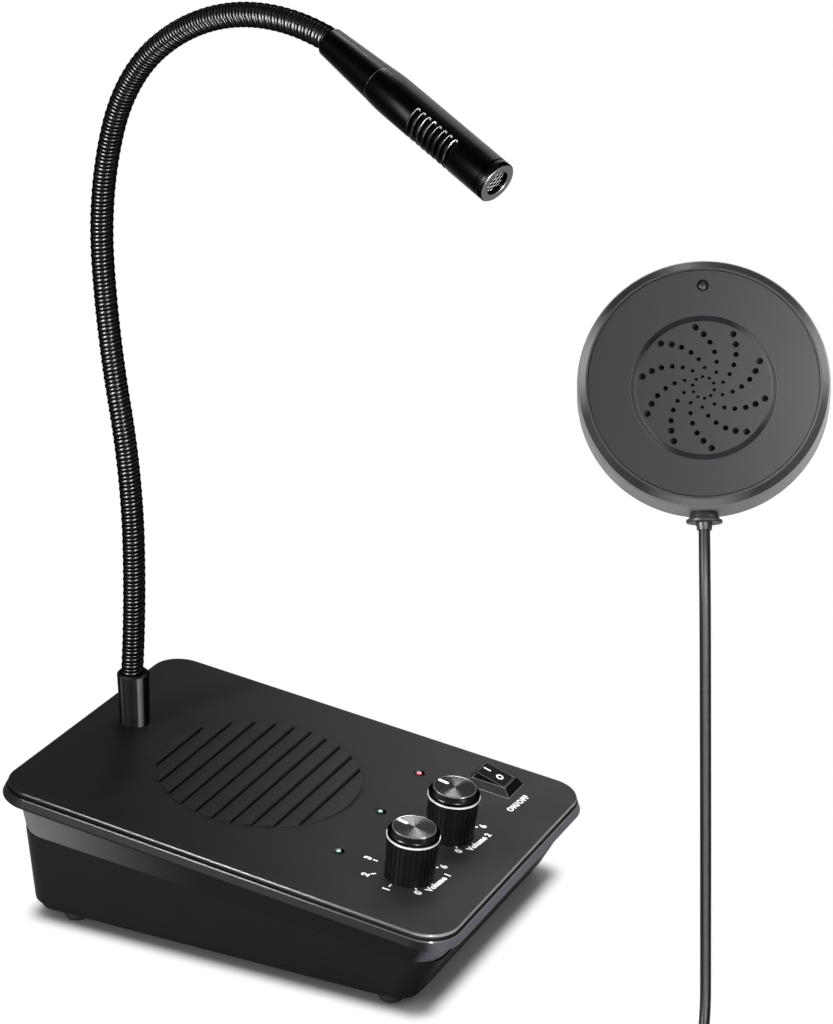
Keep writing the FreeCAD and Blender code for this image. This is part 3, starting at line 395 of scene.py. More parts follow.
def panel_plastic():
    """Satin panel with painted light: a painted sheen leaves it darker towards the gooseneck; the
    flare's front, a band on the near side and the slats' fronts are painted paler as if lit; the
    LEDs have painted shade round them; and its rim has a painted highlight at the near and front
    sides, where a coat also polishes it.
    """
    f = Finish("panel_plastic")
    cloud = f.noise(18, 3, 0.6)
    fine = f.noise(0.28, 2, 0.6)
    height = f.along(PANEL_NORMAL, PANEL.translation)
    grille = f.from_axis(PANEL_NORMAL, GRILLE_CENTRE) < GRILLE_RADIUS + 2

    # Painted highlight along the rim's lip and the top edge of its flare, strongest towards the
    # front corner; the same mask gives the rim a glossy coat
    lip = height.step(LIP_TOP, LIP_TOP - 0.18) * height.step(LIP_FOOT, LIP_FOOT + 0.15)
    flare_edge = height.step(FLARE_TOP, FLARE_TOP - 0.15)
    flare_edge = flare_edge * height.step(FLARE_FOOT, FLARE_FOOT + 0.3)
    towards_front = 0.25 + 0.75 * f.along((0, -1, 0)).step(-90, 60)
    front = f.facing(FRONT_CORNER).step(0.4, 0.95) * towards_front
    polish_and_painted_highlight = (lip + flare_edge * 0.4) * front * (1 - grille)

    # Painted sheen: paler towards the front right, darker towards the gooseneck, with random
    # cloudiness
    across = f.along(PAINTED_SHEEN_ACROSS_PANEL).step(-75, 100) + 0.15 * (cloud - 0.5)
    tone = f.mix(across, grey(0.009), grey(0.046))
    # Painted light: the flare painted paler and purple-grey where it faces the front, as if lit
    # from there
    painted_lit_front = f.facing(PANEL_FRONT).step(0.3, 0.8)
    flare_painted_light = f.mix(painted_lit_front, grey(0.009), (0.13, 0.12, 0.14, 1))
    tone = f.mix(height.step(FLARE_TOP, FLARE_TOP - 0.4), tone, flare_painted_light)
    # Painted light: a paler band below the flare on the near side, growing towards the rear
    painted_lit_near_band = height.step(BAND_TOP, BAND_TOP - 0.2) * f.facing((-1, 0, 0)).step(0.5, 0.9)
    rear = (f.along((0, 1, 0)) / 75.0).maths("MAXIMUM", 0.0)
    tone = f.mix(painted_lit_near_band * rear * rear, tone, grey(0.11))
    # Painted light: the front walls of the grille's slats painted paler, as if lit
    painted_lit_slat_fronts = grille * (height > 0.0) * f.facing(PANEL_FRONT).step(0.5, 0.9)
    tone = f.mix(painted_lit_slat_fronts, tone, grey(0.07))
    # Painted shade: a near-black ring round each LED's hole
    painted_led_shade = sum(f.from_led(place).step(LED_SHADE_RADIUS + 0.2, LED_SHADE_RADIUS)
                for place in [RED_LED, *GREEN_LEDS])
    tone = f.mix(painted_led_shade, tone, grey(0.002))
    tone = f.mix(polish_and_painted_highlight, tone, grey(0.34))

    rough = 0.40 + 0.06 * f.noise(6, 4, 0.7) + 0.05 * fine
    return f.finished(base_color=tone, roughness=rough, specular_ior_level=0.008,
                      coat_weight=polish_and_painted_highlight * 0.4, coat_roughness=0.14, normal=f.bump(fine, 0.010))


def switch_plastic():
    """Black gloss plastic, painted paler on its top faces than on its sides as if they were in
    shade, with a painted highlight along the edges of its sides.
    """
    f = Finish("switch_plastic")
    fine = f.noise(0.35, 2, 0.6)
    rise = f.facing(PANEL_NORMAL)
    # Painted light: top faces paler, sides painted near black as if in shade
    colour = f.mix(rise.step(0.8, 0.95), grey(0.003), f.mix(fine, grey(0.009), grey(0.013)))
    # Painted highlight along the edges of the side faces
    colour = f.mix(f.edges(0.3) * rise.step(-0.3, 0.3), colour, grey(0.3))
    return f.finished(base_color=colour, roughness=0.3 + 0.1 * fine, specular_ior_level=0.01,
                      normal=f.bump(fine, 0.006))


# Direction faced by the sheath's painted highlight
CORD_PAINTED_HIGHLIGHT_FACING = (-0.897, -0.442, 0)


def cord_sheath(name, tone, roughness, painted_highlight_tone):
    """Soft PVC with faint drawn streaks and a painted highlight down its front."""
    f = Finish(name)
    streaks = f.noise(0.8, 3, 0.6, stretch=(1, 1, 0.05))
    fine = f.noise(0.3, 2, 0.6)
    colour = f.mix(streaks, grey(tone * 0.8), grey(tone * 1.2))
    # Painted highlight down the side that faces the front
    colour = f.mix(f.facing(CORD_PAINTED_HIGHLIGHT_FACING).step(0.8, 1.01), colour, grey(painted_highlight_tone))
    return f.finished(base_color=colour, roughness=roughness + 0.1 * fine, specular_ior_level=0.045,
                      normal=f.bump(fine, 0.006))


# Radii on the outer disc: start of its side wall, edge of its face, and the groove's two sides
DISC_SIDE_RADIUS = 37.1
DISC_FACE_RADIUS = 35.3
DISC_GROOVE = (20.1, 22.0)
DISC_FEATURE_DROP = 1.5
# Each painted sheen of the bevel: its place on a clock face and its strength
PAINTED_BEVEL_SHEENS = [(2.5, 0.35), (6.1, 0.5), (9.4, 1.0)]
PAINTED_GROOVE_SHEEN = (0.97, 0.24, 0)
FACE_PAINTED_SHEEN = (0.94, 0.34, 0)


def disc_direction(direction):
    return DISC.to_3x3() @ Vector(direction)


def disc_shell():
    """Outer disc's ring: line round the face, bevel with three soft painted sheens, paler brushed
    side.
    """
    f = Finish("disc_shell")
    radius = f.from_axis(DISC_OUT, DISC_CENTRE)
    brushed = f.noise(0.5, 3, 0.7)
    # Painted sheens on the bevel at three places round the clock
    painted_bevel_sheens = []
    for clock, strength in PAINTED_BEVEL_SHEENS:
        turn = math.radians(30 * clock)
        towards = f.facing(disc_direction((math.sin(turn), math.cos(turn), 0)))
        painted_bevel_sheens.append(towards.step(0.55, 0.72) * strength)
    side = radius.step(DISC_SIDE_RADIUS, DISC_SIDE_RADIUS + 0.4)
    line = radius.step(DISC_FACE_RADIUS, DISC_FACE_RADIUS - 0.15)
    bevel = f.mix(sum(painted_bevel_sheens), grey(0.020), grey(0.36))
    colour = f.mix(side, bevel, f.mix(brushed, grey(0.10), grey(0.15)))
    colour = f.mix(line, colour, grey(0.05))
    return f.finished(base_color=colour, roughness=0.3 + 0.15 * side + 0.1 * brushed,
                      specular_ior_level=0.02, coat_weight=side * 0.25, coat_roughness=0.45,
                      normal=f.bump(brushed * side, 0.01))


def disc_face():
    """Outer disc's face, with a painted sheen lighter towards one side, and its darker polished
    groove with painted sheens on two opposite sides.
    """
    f = Finish("disc_face")
    radius = f.from_axis(DISC_OUT, DISC @ Vector((0, -DISC_FEATURE_DROP, 0)))
    cloud = f.noise(25, 2, 0.5)
    fine = f.noise(0.3, 2, 0.6)
    inner, outer = DISC_GROOVE
    groove = radius.step(inner, inner + 0.25) * radius.step(outer, outer - 0.25)
    # Painted sheens on two opposite sides of the groove
    painted_groove_sheen = f.along(disc_direction(PAINTED_GROOVE_SHEEN), DISC_CENTRE).maths("ABSOLUTE").step(12, 20)
    # Painted sheen: the face lighter towards one side, with random cloudiness
    across = f.along(disc_direction(FACE_PAINTED_SHEEN), DISC_CENTRE).step(-45, 45) + 0.1 * (cloud - 0.5)
    colour = f.mix(across, grey(0.017), grey(0.034))
    colour = f.mix(groove, colour, f.mix(painted_groove_sheen, (0.006, 0.0055, 0.008, 1), grey(0.075)))
    return f.finished(base_color=colour, roughness=0.42 - 0.1 * groove + 0.05 * fine,
                      specular_ior_level=0.06, normal=f.bump(fine, 0.008))


def led_lens(name, places, glow, body, rim, heart_radius, strength):
    """Clear coloured lens with a glowing heart round each place's axis."""
    f = Finish(name)
    away = [f.from_led(place) for place in places]
    nearest = away[0].maths("MINIMUM", away[-1])
    frost = f.noise(0.3, 2, 0.5)
    heart = nearest.step(heart_radius + 0.35, heart_radius)
    return f.finished(base_color=f.mix(nearest.step(1.0, 1.4), body, rim),
                      roughness=0.12 + 0.06 * frost, specular_ior_level=0.05,
                      emission_color=f.mix(heart, grey(0), glow), emission_strength=strength)


def printed_ink():
    f = Finish("white_ink")
    wear = f.noise(0.5, 3, 0.7)
    # A faint painted glow keeps the print bright
    return f.finished(base_color=f.mix(wear, grey(0.72), grey(0.9)), roughness=0.5 + 0.1 * wear,
                      emission_color=grey(0.9), emission_strength=0.3, normal=f.bump(wear, 0.004))


# Metals

def satin_chrome():
    f = Finish("bright_ring")
    streaks = f.noise(1.2, 3, 0.7)
    return f.finished(base_color=f.mix(streaks, grey(0.88), grey(0.96)),
                      roughness=0.25 + 0.1 * streaks, metallic=0.4)


def rubbed_steel(name, tone, roughness, stretch=(1, 1, 12)):
    f = Finish(name)
    streaks = f.noise(1.2, 3, 0.7, stretch)
    return f.finished(base_color=f.mix(streaks, grey(tone * 0.85), grey(tone)),
                      roughness=roughness + 0.12 * streaks, metallic=1.0,
                      normal=f.bump(streaks, 0.004))


def neck_plating():
    """Black-nickel plating with faint handling marks, which hardly shines at a slant."""
    f = Finish("neck_plating")
    smudge = f.noise(7, 2, 0.5)
    return f.finished(base_color=f.mix(smudge, grey(0.0075), grey(0.01125)),
                      roughness=0.25 + 0.05 * smudge, metallic=1.0, specular_tint=grey(0.2))


FERRULE_PAINTED_HIGHLIGHTS = [(-0.925, 0.313, 0), (-0.54, -0.842, 0)]


def ferrule_plating():
    """Black plating with two soft painted highlights down its length."""
    f = Finish("ferrule_plating")
    smudge = f.noise(7, 2, 0.5)
    # Painted highlights: two soft bright bands down its length
    painted_bands = sum(f.facing(direction).step(0.965, 0.999) for direction in FERRULE_PAINTED_HIGHLIGHTS)
    colour = f.mix(painted_bands, f.mix(smudge, grey(0.006), grey(0.009)), grey(0.12))
    return f.finished(base_color=colour, roughness=0.34 + 0.05 * smudge, metallic=1.0,
                      specular_tint=grey(0.3))


# Microphone, along its own frame: barrel with slots and a shallow groove near its front, end ring
SLEEVE_START = 22.6
SLEEVE_END = 73.4
SLEEVE_START_RADIUS = 6.1
SLEEVE_RADIUS = 6.6
SLEEVE_FLARE = 9
SLEEVE_BORE = 5.4
SLEEVE_INNER = 4.75
CAPSULE_SEAT = 62.0
SLEEVE_GROOVE = 71.9
GROOVE_DEPTH = 0.3
SLOT_COUNT = 8
SLOT_PITCH = 2.33
SLOT_START = 42.1
SLOT_END = SLOT_START + SLOT_COUNT * SLOT_PITCH
SLOT_DEPTH = 1.55
SLOT_FACE = 214.0
SLOT_REACH = 90.0
SLOT_FADE = 16
# Place across a slot and share of its depth: rounded lips and a flat floor
SLOT_SECTION = [(-0.42, 0.0), (-0.25, 0.04), (-0.1, 0.16), (0.0, 0.4), (0.06, 1.0),
                (1.04, 1.0), (1.1, 0.4), (1.2, 0.16), (1.35, 0.04), (1.52, 0.0)]
SLEEVE_SEGMENTS = 96
RING_FACE = 75.0
MIC_PAINTED_SHEEN = (0.45, -0.49, 0.74)


def mic_plating(name, slotted):
    """Black-nickel microphone with a painted matt sheen down one side, where it is also rougher and
    less metallic.

    Its slotted barrel also has painted highlights on its slot lips and a painted bright line at its
    rear seam.
    """
    f = Finish(name)
    along = f.along(MIC_AXIS, MIC.translation)
    radius = f.from_axis(MIC_AXIS, MIC.translation)
    smudge = f.noise(4, 2, 0.5)
    # Painted sheen down one side; the same mask makes that side rougher and less metallic
    painted_side_sheen = f.facing(MIC_PAINTED_SHEEN).step(0.6, 1.15)
    colour = f.mix(painted_side_sheen, f.mix(smudge, grey(0.0005), grey(0.0008)), grey(0.16))
    if slotted:
        # Painted highlights on some slot lips and a painted bright line at the rear seam
        slots = along.step(SLOT_START - 0.6, SLOT_START - 0.4) * (along < SLOT_END)
        painted_lip_highlights = slots * radius.step(SLEEVE_RADIUS - 0.04, SLEEVE_RADIUS - 0.12)
        painted_lip_highlights = painted_lip_highlights * radius.step(SLEEVE_RADIUS - 0.75, SLEEVE_RADIUS - 0.6)
        seam = along.step(SLEEVE_START + 0.3, SLEEVE_START + 0.15)
        bright = painted_lip_highlights * (0.1 + 0.45 * smudge.step(0.47, 0.62)) + seam * smudge.step(0.35, 0.55)
        colour = f.mix(bright.maths("MINIMUM", 1.0), colour, grey(0.2))
    return f.finished(base_color=colour, roughness=0.28 + 0.05 * smudge + 0.2 * painted_side_sheen,
                      metallic=1 - painted_side_sheen.step(0.0, 0.5) * 0.96, specular_ior_level=0.03,
                      specular_tint=grey(0.6))


def ring_enamel():
    """Black gloss round the side, brushed grey on the flat end."""
    f = Finish("mic_ring_enamel")
    end = f.along(MIC_AXIS, MIC.translation).step(RING_FACE - 0.12, RING_FACE - 0.04)
    grain = f.noise(0.3, 3, 0.7)
    return f.finished(base_color=f.mix(end, grey(0.004), grey(0.12)),
                      roughness=0.2 + 0.25 * end + 0.05 * grain, metallic=1.0,
                      specular_tint=grey(0.4), normal=f.bump(grain * end, 0.01))


# Knob caps, above the panel
CAP_FOOT = 15.9
CAP_TOP = 18.9
CAP_RADIUS = 8.8
CAP_SKIRT = 1.1
CAP_SHOULDER = 0.6
SHOULDER_STEPS = 5
CAP_FACE_RADIUS = 7.2
CAP_GROOVE = 0.42
CAP_GROOVE_DEPTH = 0.028
GROOVE_STEPS = 6


def cap_metal(name, centre):
    """Black turned cap: satin face with a bright edge round it."""
    f = Finish(name)
    radius = f.from_axis(PANEL_NORMAL, centre)
    streaks = f.noise(2.5, 2, 0.5)
    face = radius.step(CAP_FACE_RADIUS, CAP_FACE_RADIUS - 0.1)
    edge = radius.step(CAP_FACE_RADIUS - 0.16, CAP_FACE_RADIUS - 0.1)
    edge = edge * radius.step(CAP_FACE_RADIUS + 0.3, CAP_FACE_RADIUS + 0.2)
    black = f.mix(face, grey(0.007), f.mix(streaks, grey(0.040), grey(0.050)))
    return f.finished(base_color=f.mix(edge, black, grey(0.13)),
                      roughness=0.24 - 0.12 * face + 0.04 * streaks, metallic=1.0,
                      specular_tint=grey(0.35))


# Inner pieces

CLOTH_PITCH = 0.5
FOAM_CELL = 0.7
TRACK_PITCH = 6
PAD_PITCH = 3.5


def woven_cloth():
    f = Finish("grille_cloth")
    warp, weft = [(f.along(axis) * (2 * math.pi / CLOTH_PITCH)).maths("SINE")
                  for axis in ((1, 0, 0), (0, 1, 0))]
    weave = warp * weft * 0.5 + 0.5
    return f.finished(base_color=f.mix(weave, grey(0.006), grey(0.02)), roughness=0.95,
                      specular_ior_level=0.1, normal=f.bump(weave, 0.08))


def pressed_paper():
    f = Finish("cone_paper")
    fibre = f.noise(0.6, 5, 0.8, stretch=(1, 3, 1))
    colour = f.mix(fibre, (0.03, 0.028, 0.025, 1), (0.07, 0.065, 0.06, 1))
    return f.finished(base_color=colour, roughness=0.9, specular_ior_level=0.1,
                      normal=f.bump(fibre, 0.05))


def cell_foam(name, tone):
    f = Finish(name)
    cells = f.cells(FOAM_CELL)
    return f.finished(base_color=f.mix(cells, grey(tone * 0.5), grey(tone)), roughness=0.95,
                      specular_ior_level=0.05, normal=f.bump(cells, 0.2))


def sintered(name, tone):
    f = Finish(name)
    grit = f.noise(0.4, 4, 0.8)
    return f.finished(base_color=f.mix(grit, grey(tone * 0.7), grey(tone)), roughness=0.75,
                      metallic=0.4, normal=f.bump(grit, 0.04))


def lacquered_board():
    """Green lacquer over copper tracks."""
    f = Finish("board_lacquer")
    tracks = f.node("ShaderNodeTexBrick", {"offset": 0.37}, {
        "Vector": f.place, "Color1": grey(0), "Color2": grey(0), "Mortar": grey(1),
        "Scale": 1 / (TRACK_PITCH * MM), "Mortar Size": 0.06, "Brick Width": 0.9,
        "Row Height": 0.35}, "Fac")
    colour = f.mix(tracks, (0.012, 0.10, 0.035, 1), (0.03, 0.19, 0.07, 1))
    colour = f.mix(f.cells(PAD_PITCH) < 0.16, colour, (0.6, 0.6, 0.58, 1))
    return f.finished(base_color=colour, roughness=0.35, normal=f.bump(tracks, 0.03))


# Floor and world

FOOTPRINT_HALF = (49.0, 70.0)
FLOOR_CLEAR = (3.0, 11.5)
FLOOR_HALF = 4000.0
FLOOR_DROP = 0.02
SHADOW_REACH = 35.0
# Share of the white that lights the object
AMBIENT = 0.2


def floor_paper():
    """Pale floor that keeps the shadow near the object, deepened there by painted contact shade,
    and fades to plain white around it.
    """
    f = Finish("floor")
    paper = f.mix(f.noise(3, 4, 0.6), grey(0.86), grey(0.9))
    # Painted contact shade: the floor darker where the object shelters it
    painted_contact_shade = f.node("ShaderNodeAmbientOcclusion", {"samples": 12},
                     {"Distance": SHADOW_REACH * MM}, "AO")
    colour = f.mix(painted_contact_shade.maths("POWER", 2.0), grey(0.05), paper)
    matt = f.principled(base_color=colour, roughness=0.9, specular_ior_level=0.0)
    white = f.node("ShaderNodeEmission", None, {"Color": grey(1.0), "Strength": 1.0})
    beyond = [(f.along(axis).maths("ABSOLUTE") - half).maths("MAXIMUM", 0.0)
              for axis, half in zip(((1, 0, 0), (0, 1, 0)), FOOTPRINT_HALF)]
    away = (beyond[0] * beyond[0] + beyond[1] * beyond[1]).maths("POWER", 0.5)
    far = away.step(*FLOOR_CLEAR)
    camera_ray = f.node("ShaderNodeLightPath", output="Is Camera Ray")
    glossy_ray = f.node("ShaderNodeLightPath", output="Is Glossy Ray")
    share = camera_ray * (0.04 + 0.96 * far) + glossy_ray * 0.6 * far
    share = share.maths("MINIMUM", 1.0)
    return f.done(f.node("ShaderNodeMixShader", None, {0: share, 1: matt, 2: white}))


def add_world():
    """White to the camera, in gloss and through glass, and dim as a lamp."""
    world = bpy.data.worlds.new("studio")
    bpy.context.scene.world = world
    sky = NodeTree(world)
    camera_ray, glossy_ray, through_ray = [sky.node("ShaderNodeLightPath", output=ray) for ray in (
        "Is Camera Ray", "Is Glossy Ray", "Is Transmission Ray")]
    seen = camera_ray.maths("MAXIMUM", glossy_ray).maths("MAXIMUM", through_ray)
    strength = AMBIENT + (1 - AMBIENT) * seen
    sky.done(sky.node("ShaderNodeBackground", None, {"Color": grey(1.0), "Strength": strength}),
             "ShaderNodeOutputWorld")


# Shapes

def mesh_piece(name, points, faces, material, smooth_angle):
    """Object from points in millimetres."""
    mesh = bpy.data.meshes.new(name)
    mesh.from_pydata([Vector(point) * MM for point in points], [], faces)
    mesh.materials.append(material)
    mesh.shade_smooth()
    mesh.set_sharp_from_angle(angle=math.radians(smooth_angle))
    return added(name, mesh)


def grid_faces(rows, columns, wrap=True):
    """Quads between rows of points; each row closes on itself when wrap is true."""
    faces = []
    for row in range(rows - 1):
        low, high = row * columns, (row + 1) * columns
        for column in range(columns if wrap else columns - 1):
            following = (column + 1) % columns
            faces.append((low + column, low + following, high + following, high + column))
    return faces


def turned_piece(name, profile, place, material, segments, smooth_angle):
    """Surface of revolution about a frame's z from (radius, height) points."""
    points = []
    for radius, height in profile:
        for segment in range(segments):
            turn = 2 * math.pi * segment / segments
            point = (radius * math.cos(turn), radius * math.sin(turn), height)
            points.append(place @ Vector(point))
    piece = mesh_piece(name, points, grid_faces(len(profile), segments), material, smooth_angle)
    bm = bmesh.new()
    bm.from_mesh(piece.data)
    bmesh.ops.remove_doubles(bm, verts=bm.verts, dist=1e-7)
    bm.to_mesh(piece.data)
    bm.free()
    return piece


def add_bar(name, place, start, end, width, low, high, material):
    """Bar along a frame's x with round ends, its top edge slightly chamfered."""
    steps = 6
    loops = []
    for level, inset in ((low, 0.0), (high - 0.05, 0.0), (high, 0.06)):
        radius = width / 2 - inset
        loop = []
        for centre, first in ((end - width / 2, -90), (start + width / 2, 90)):
            for step in range(steps + 1):
                turn = math.radians(first + 180 * step / steps)
                point = (centre + radius * math.cos(turn), radius * math.sin(turn), level)
                loop.append(place @ Vector(point))
        loops.append(loop)
    count = len(loops[0])
    points = [point for loop in loops for point in loop]
    faces = grid_faces(len(loops), count) + [tuple(range(len(points) - count, len(points)))]
    return mesh_piece(name, points, faces, material, 30)


# Cord of the outer disc

CORD_DIAMETER = 3.5
CORD_EXIT = (-32.46, -158.17, 179.49)
CORD_ROUTE = [(-37.1, -160.4, 170.9), (-40.0, -162.2, 157.4), (-40.5, -163.5, 131.0),
              (-39.8, -165.3, 81.0), (-39.2, -166.7, 39.0), (-43.0, -169.0, 17.0),
              (-57.0, -171.5, 4.2), (-75.8, -177.5, 1.75), (-94.0, -188.0, 1.75)]
TAIL_ROUTE = [(-122.7, -159.3, 15.75), (-117.7, -150.6, 14.6), (-114.2, -140.6, 9.6),
              (-112.8, -129.8, 5.2), (-112.5, -119.0, 4.0)]
COIL_CENTRE = (-104.5, -169.8)
COIL_START = -60
OUTER_TURN = 21.0
INNER_TURN = 17.25
# Each turn: its radius and its layer
COIL_TURNS = [(OUTER_TURN, 0), (INNER_TURN, 0), (INNER_TURN, 1), (OUTER_TURN, 1), (OUTER_TURN, 2),
              (INNER_TURN, 2), (INNER_TURN, 3), (OUTER_TURN, 3), (INNER_TURN, 4), (OUTER_TURN, 4)]
POINTS_PER_TURN = 12
LAST_TURN_POINTS = 4


def coil_points():
    """Clockwise turns, two columns wide, wound layer by layer."""
    reach = 1 / math.cos(math.pi / POINTS_PER_TURN)
    x, y = COIL_CENTRE
    points = []
    for step in range(1, POINTS_PER_TURN * (len(COIL_TURNS) - 1) + LAST_TURN_POINTS + 1):
        radius, layer = COIL_TURNS[step // POINTS_PER_TURN]
        angle = math.radians(COIL_START - 360 * step / POINTS_PER_TURN)
        points.append((x + radius * reach * math.cos(angle), y + radius * reach * math.sin(angle),
                       CORD_DIAMETER * (layer + 0.5)))
    return points


def add_cord(material):
    data = bpy.data.curves.new("outer_unit_cord", "CURVE")
    data.dimensions = "3D"
    data.bevel_depth = CORD_DIAMETER / 2 * MM
    data.bevel_resolution = 5
    data.resolution_u = 6
    data.use_fill_caps = True
    spline = data.splines.new("NURBS")
    route = [CORD_EXIT] + CORD_ROUTE + coil_points() + TAIL_ROUTE
    spline.points.add(len(route) - 1)
    for point, place in zip(spline.points, route):
        point.co = (*(Vector(place) * MM), 1.0)
    spline.order_u = 3
    spline.use_endpoint_u = True
    data.materials.append(material)
    cord = added("outer_unit_cord", data)
    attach(cord, "counter_unit")
    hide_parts("outer_cord", "outer_cord_coil")


# Gooseneck

NECK_PITCH = 2.85
# Wound section over one pitch: middle and half width as shares of the pitch, and crest radius
NECK_RIDGES = [(0.30, 0.285, 4.0), (0.80, 0.19, 3.86)]
NECK_ROOT = 3.3
CREST_TURN = math.radians(30)
CREST_SHARE = 0.86
CREST_STEPS = 6
NECK_SEGMENTS = 32
# Each skin: name, first and last pitch, bodies, where it bends, node that it replaces
NECK_SKINS = [("neck_coil_1", -1, 26, ("counter_unit", "neck_2"), (32.0, 68.0), "neck_section_1"),
              ("neck_coil_2", 26, 43, ("neck_2", "neck_3"), (80.0, 120.0), "neck_section_2"),
              ("neck_coil_3", 43, 61, ("neck_3", "neck_4"), (130.0, 170.0), "neck_section_3"),
              ("neck_coil_4", 61, 86, ("neck_4", "neck_5"), (180.0, 220.0), "neck_section_4"),
              ("neck_coil_5", 86, 112, ("neck_5", "microphone"), (304.0, 318.0), "neck_section_5")]


def neck_rows():
    """Share of the pitch and radius of each row of points: a wide strip, then a narrow one.

    Each strip stands on steep sides and has a crest that is part of a circle.
    """
    rows = []
    for middle, half, crest in NECK_RIDGES:
        rows.append((middle - half, NECK_ROOT))
        bend = CREST_SHARE * half * NECK_PITCH / math.sin(CREST_TURN)
        for step in range(CREST_STEPS + 1):
            turn = CREST_TURN * (2 * step / CREST_STEPS - 1)
            rows.append((middle + bend * math.sin(turn) / NECK_PITCH,
                         crest - bend * (1 - math.cos(turn))))
        rows.append((middle + half, NECK_ROOT))
    return rows


def neck_coil(name, start, end, material):
    """Skin whose rows of points follow the winding from one whole pitch to another."""
    section = neck_rows()
    rows = [(pitch, share, radius) for pitch in range(start, end) for share, radius in section]
    rows.append((end, *section[0]))
    points = []
    for pitch, share, radius in rows:
        for segment in range(NECK_SEGMENTS + 1):
            around = segment / NECK_SEGMENTS
            along, height, heading = neck_station((pitch + share + around) * NECK_PITCH)
            across = NECK_FORWARD * math.cos(heading) - UP * math.sin(heading)
            turn = 2 * math.pi * around
            out = across * math.cos(turn) + NECK_SIDE * math.sin(turn)
            points.append(neck_place(along, height) + out * radius)
    return mesh_piece(name, points, grid_faces(len(rows), NECK_SEGMENTS + 1, False), material, 60)


def add_neck(material):
    for name, start, end, bodies, bend, node in NECK_SKINS:
        skin = neck_coil(name, start, end, material)
        low, high = [neck_place(*neck_station(distance)[:2]) * MM for distance in bend]
        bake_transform(skin)
        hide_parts(node)


# Microphone

def sleeve_rows():
    """Radius, height and share of the slots' depth of each row, from the bore to the front."""
    start, edge = SLEEVE_START, SLEEVE_START_RADIUS
    rows = [(SLEEVE_BORE, SLEEVE_END, 0), (SLEEVE_BORE, CAPSULE_SEAT, 0),
            (SLEEVE_INNER, CAPSULE_SEAT, 0), (SLEEVE_INNER, start, 0),
            (edge - 0.22, start, 0), (edge - 0.06, start + 0.07, 0), (edge, start + 0.25, 0)]
    flare = SLEEVE_RADIUS - SLEEVE_START_RADIUS
    rows += [(SLEEVE_RADIUS - flare * (1 - step / 6) ** 2, start + SLEEVE_FLARE * step / 6, 0)
             for step in range(1, 7)]
    for slot in range(SLOT_COUNT):
        rows += [(SLEEVE_RADIUS, SLOT_START + slot * SLOT_PITCH + place, depth)
                 for place, depth in SLOT_SECTION]
    floor = SLEEVE_RADIUS - GROOVE_DEPTH
    rows += [(SLEEVE_RADIUS, SLEEVE_GROOVE - 0.3, 0), (floor, SLEEVE_GROOVE - 0.15, 0),
             (floor, SLEEVE_GROOVE + 0.15, 0), (SLEEVE_RADIUS, SLEEVE_GROOVE + 0.3, 0),
             (SLEEVE_RADIUS, SLEEVE_END, 0), (SLEEVE_BORE, SLEEVE_END, 0)]
    return rows


def add_mic_sleeve(material):
    """Barrel with its curved slots, cut round the lower half and fading out at their ends."""
    rows = sleeve_rows()
    points = []
    for radius, height, depth in rows:
        for segment in range(SLEEVE_SEGMENTS):
            turn = 2 * math.pi * segment / SLEEVE_SEGMENTS
            inside = SLOT_REACH - abs((math.degrees(turn) - SLOT_FACE + 180) % 360 - 180)
            open_share = min(1.0, max(0.0, inside / SLOT_FADE))
            smooth = open_share * open_share * (3 - 2 * open_share)
            out = radius - SLOT_DEPTH * depth * smooth
            points.append(MIC @ Vector((out * math.cos(turn), out * math.sin(turn), height)))
    sleeve = mesh_piece("mic_sleeve", points, grid_faces(len(rows), SLEEVE_SEGMENTS), material, 50)
    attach(sleeve, "microphone")
    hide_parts("mic_barrel")


MESH_HEIGHT = 73.2
MESH_CELL = 1.6
MESH_RADIUS = 5.2
MESH_CROWN = 0.45
MESH_WIRE = 0.14


def add_mic_mesh(material):
    """Crowned sheet of small hexagonal openings behind the microphone's end ring."""
    cell = MESH_CELL / math.sqrt(3)
    bm = bmesh.new()
    reach = int(MESH_RADIUS / MESH_CELL) + 2
    for row in range(-reach, reach + 1):
        for column in range(-reach, reach + 1):
            x = (column + 0.5 * (row % 2)) * MESH_CELL
            y = row * 1.5 * cell
            if math.hypot(x, y) > MESH_RADIUS - cell:
                continue
            corners = []
            for step in range(6):
                turn = math.radians(60 * step + 30)
                px, py = x + cell * math.cos(turn), y + cell * math.sin(turn)
                crown = MESH_CROWN * (1 - (px * px + py * py) / MESH_RADIUS ** 2)
                corners.append(bm.verts.new(MIC @ Vector((px, py, MESH_HEIGHT + crown)) * MM))
            bm.faces.new(corners)
    bmesh.ops.remove_doubles(bm, verts=bm.verts, dist=2e-5)
    bmesh.ops.recalc_face_normals(bm, faces=bm.faces)
    bmesh.ops.wireframe(bm, faces=bm.faces, thickness=MESH_WIRE * MM, use_replace=True,
                        use_boundary=True, use_even_offset=True)
    mesh = bpy.data.meshes.new("mic_wire_mesh")
    bm.to_mesh(mesh)
    bm.free()
    mesh.materials.append(material)
    piece = added("mic_wire_mesh", mesh)
    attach(piece, "microphone")
    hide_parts("mic_mesh")


# Outer disc's gland and microphone lens

GLAND_DEPTH = 8.5
# Radius and distance from the disc's middle: domed collar, flat foot, short collar round the cord
GLAND_PROFILE = [(0.0, 36.6), (2.9, 36.6), (3.7, 37.3), (4.2, 38.2), (4.45, 39.2), (4.6, 39.9),
                 (5.45, 40.3), (5.45, 41.0), (5.25, 41.2), (2.55, 41.2), (2.5, 41.5), (2.3, 42.6),
                 (2.25, 43.3), (0.0, 43.3)]
LENS_PROFILE = [(1.7, -1.2), (1.45, -0.75), (1.0, -0.45), (0.5, -0.3), (0.0, -0.26)]
LENS_PLACE = (0, 29.7)


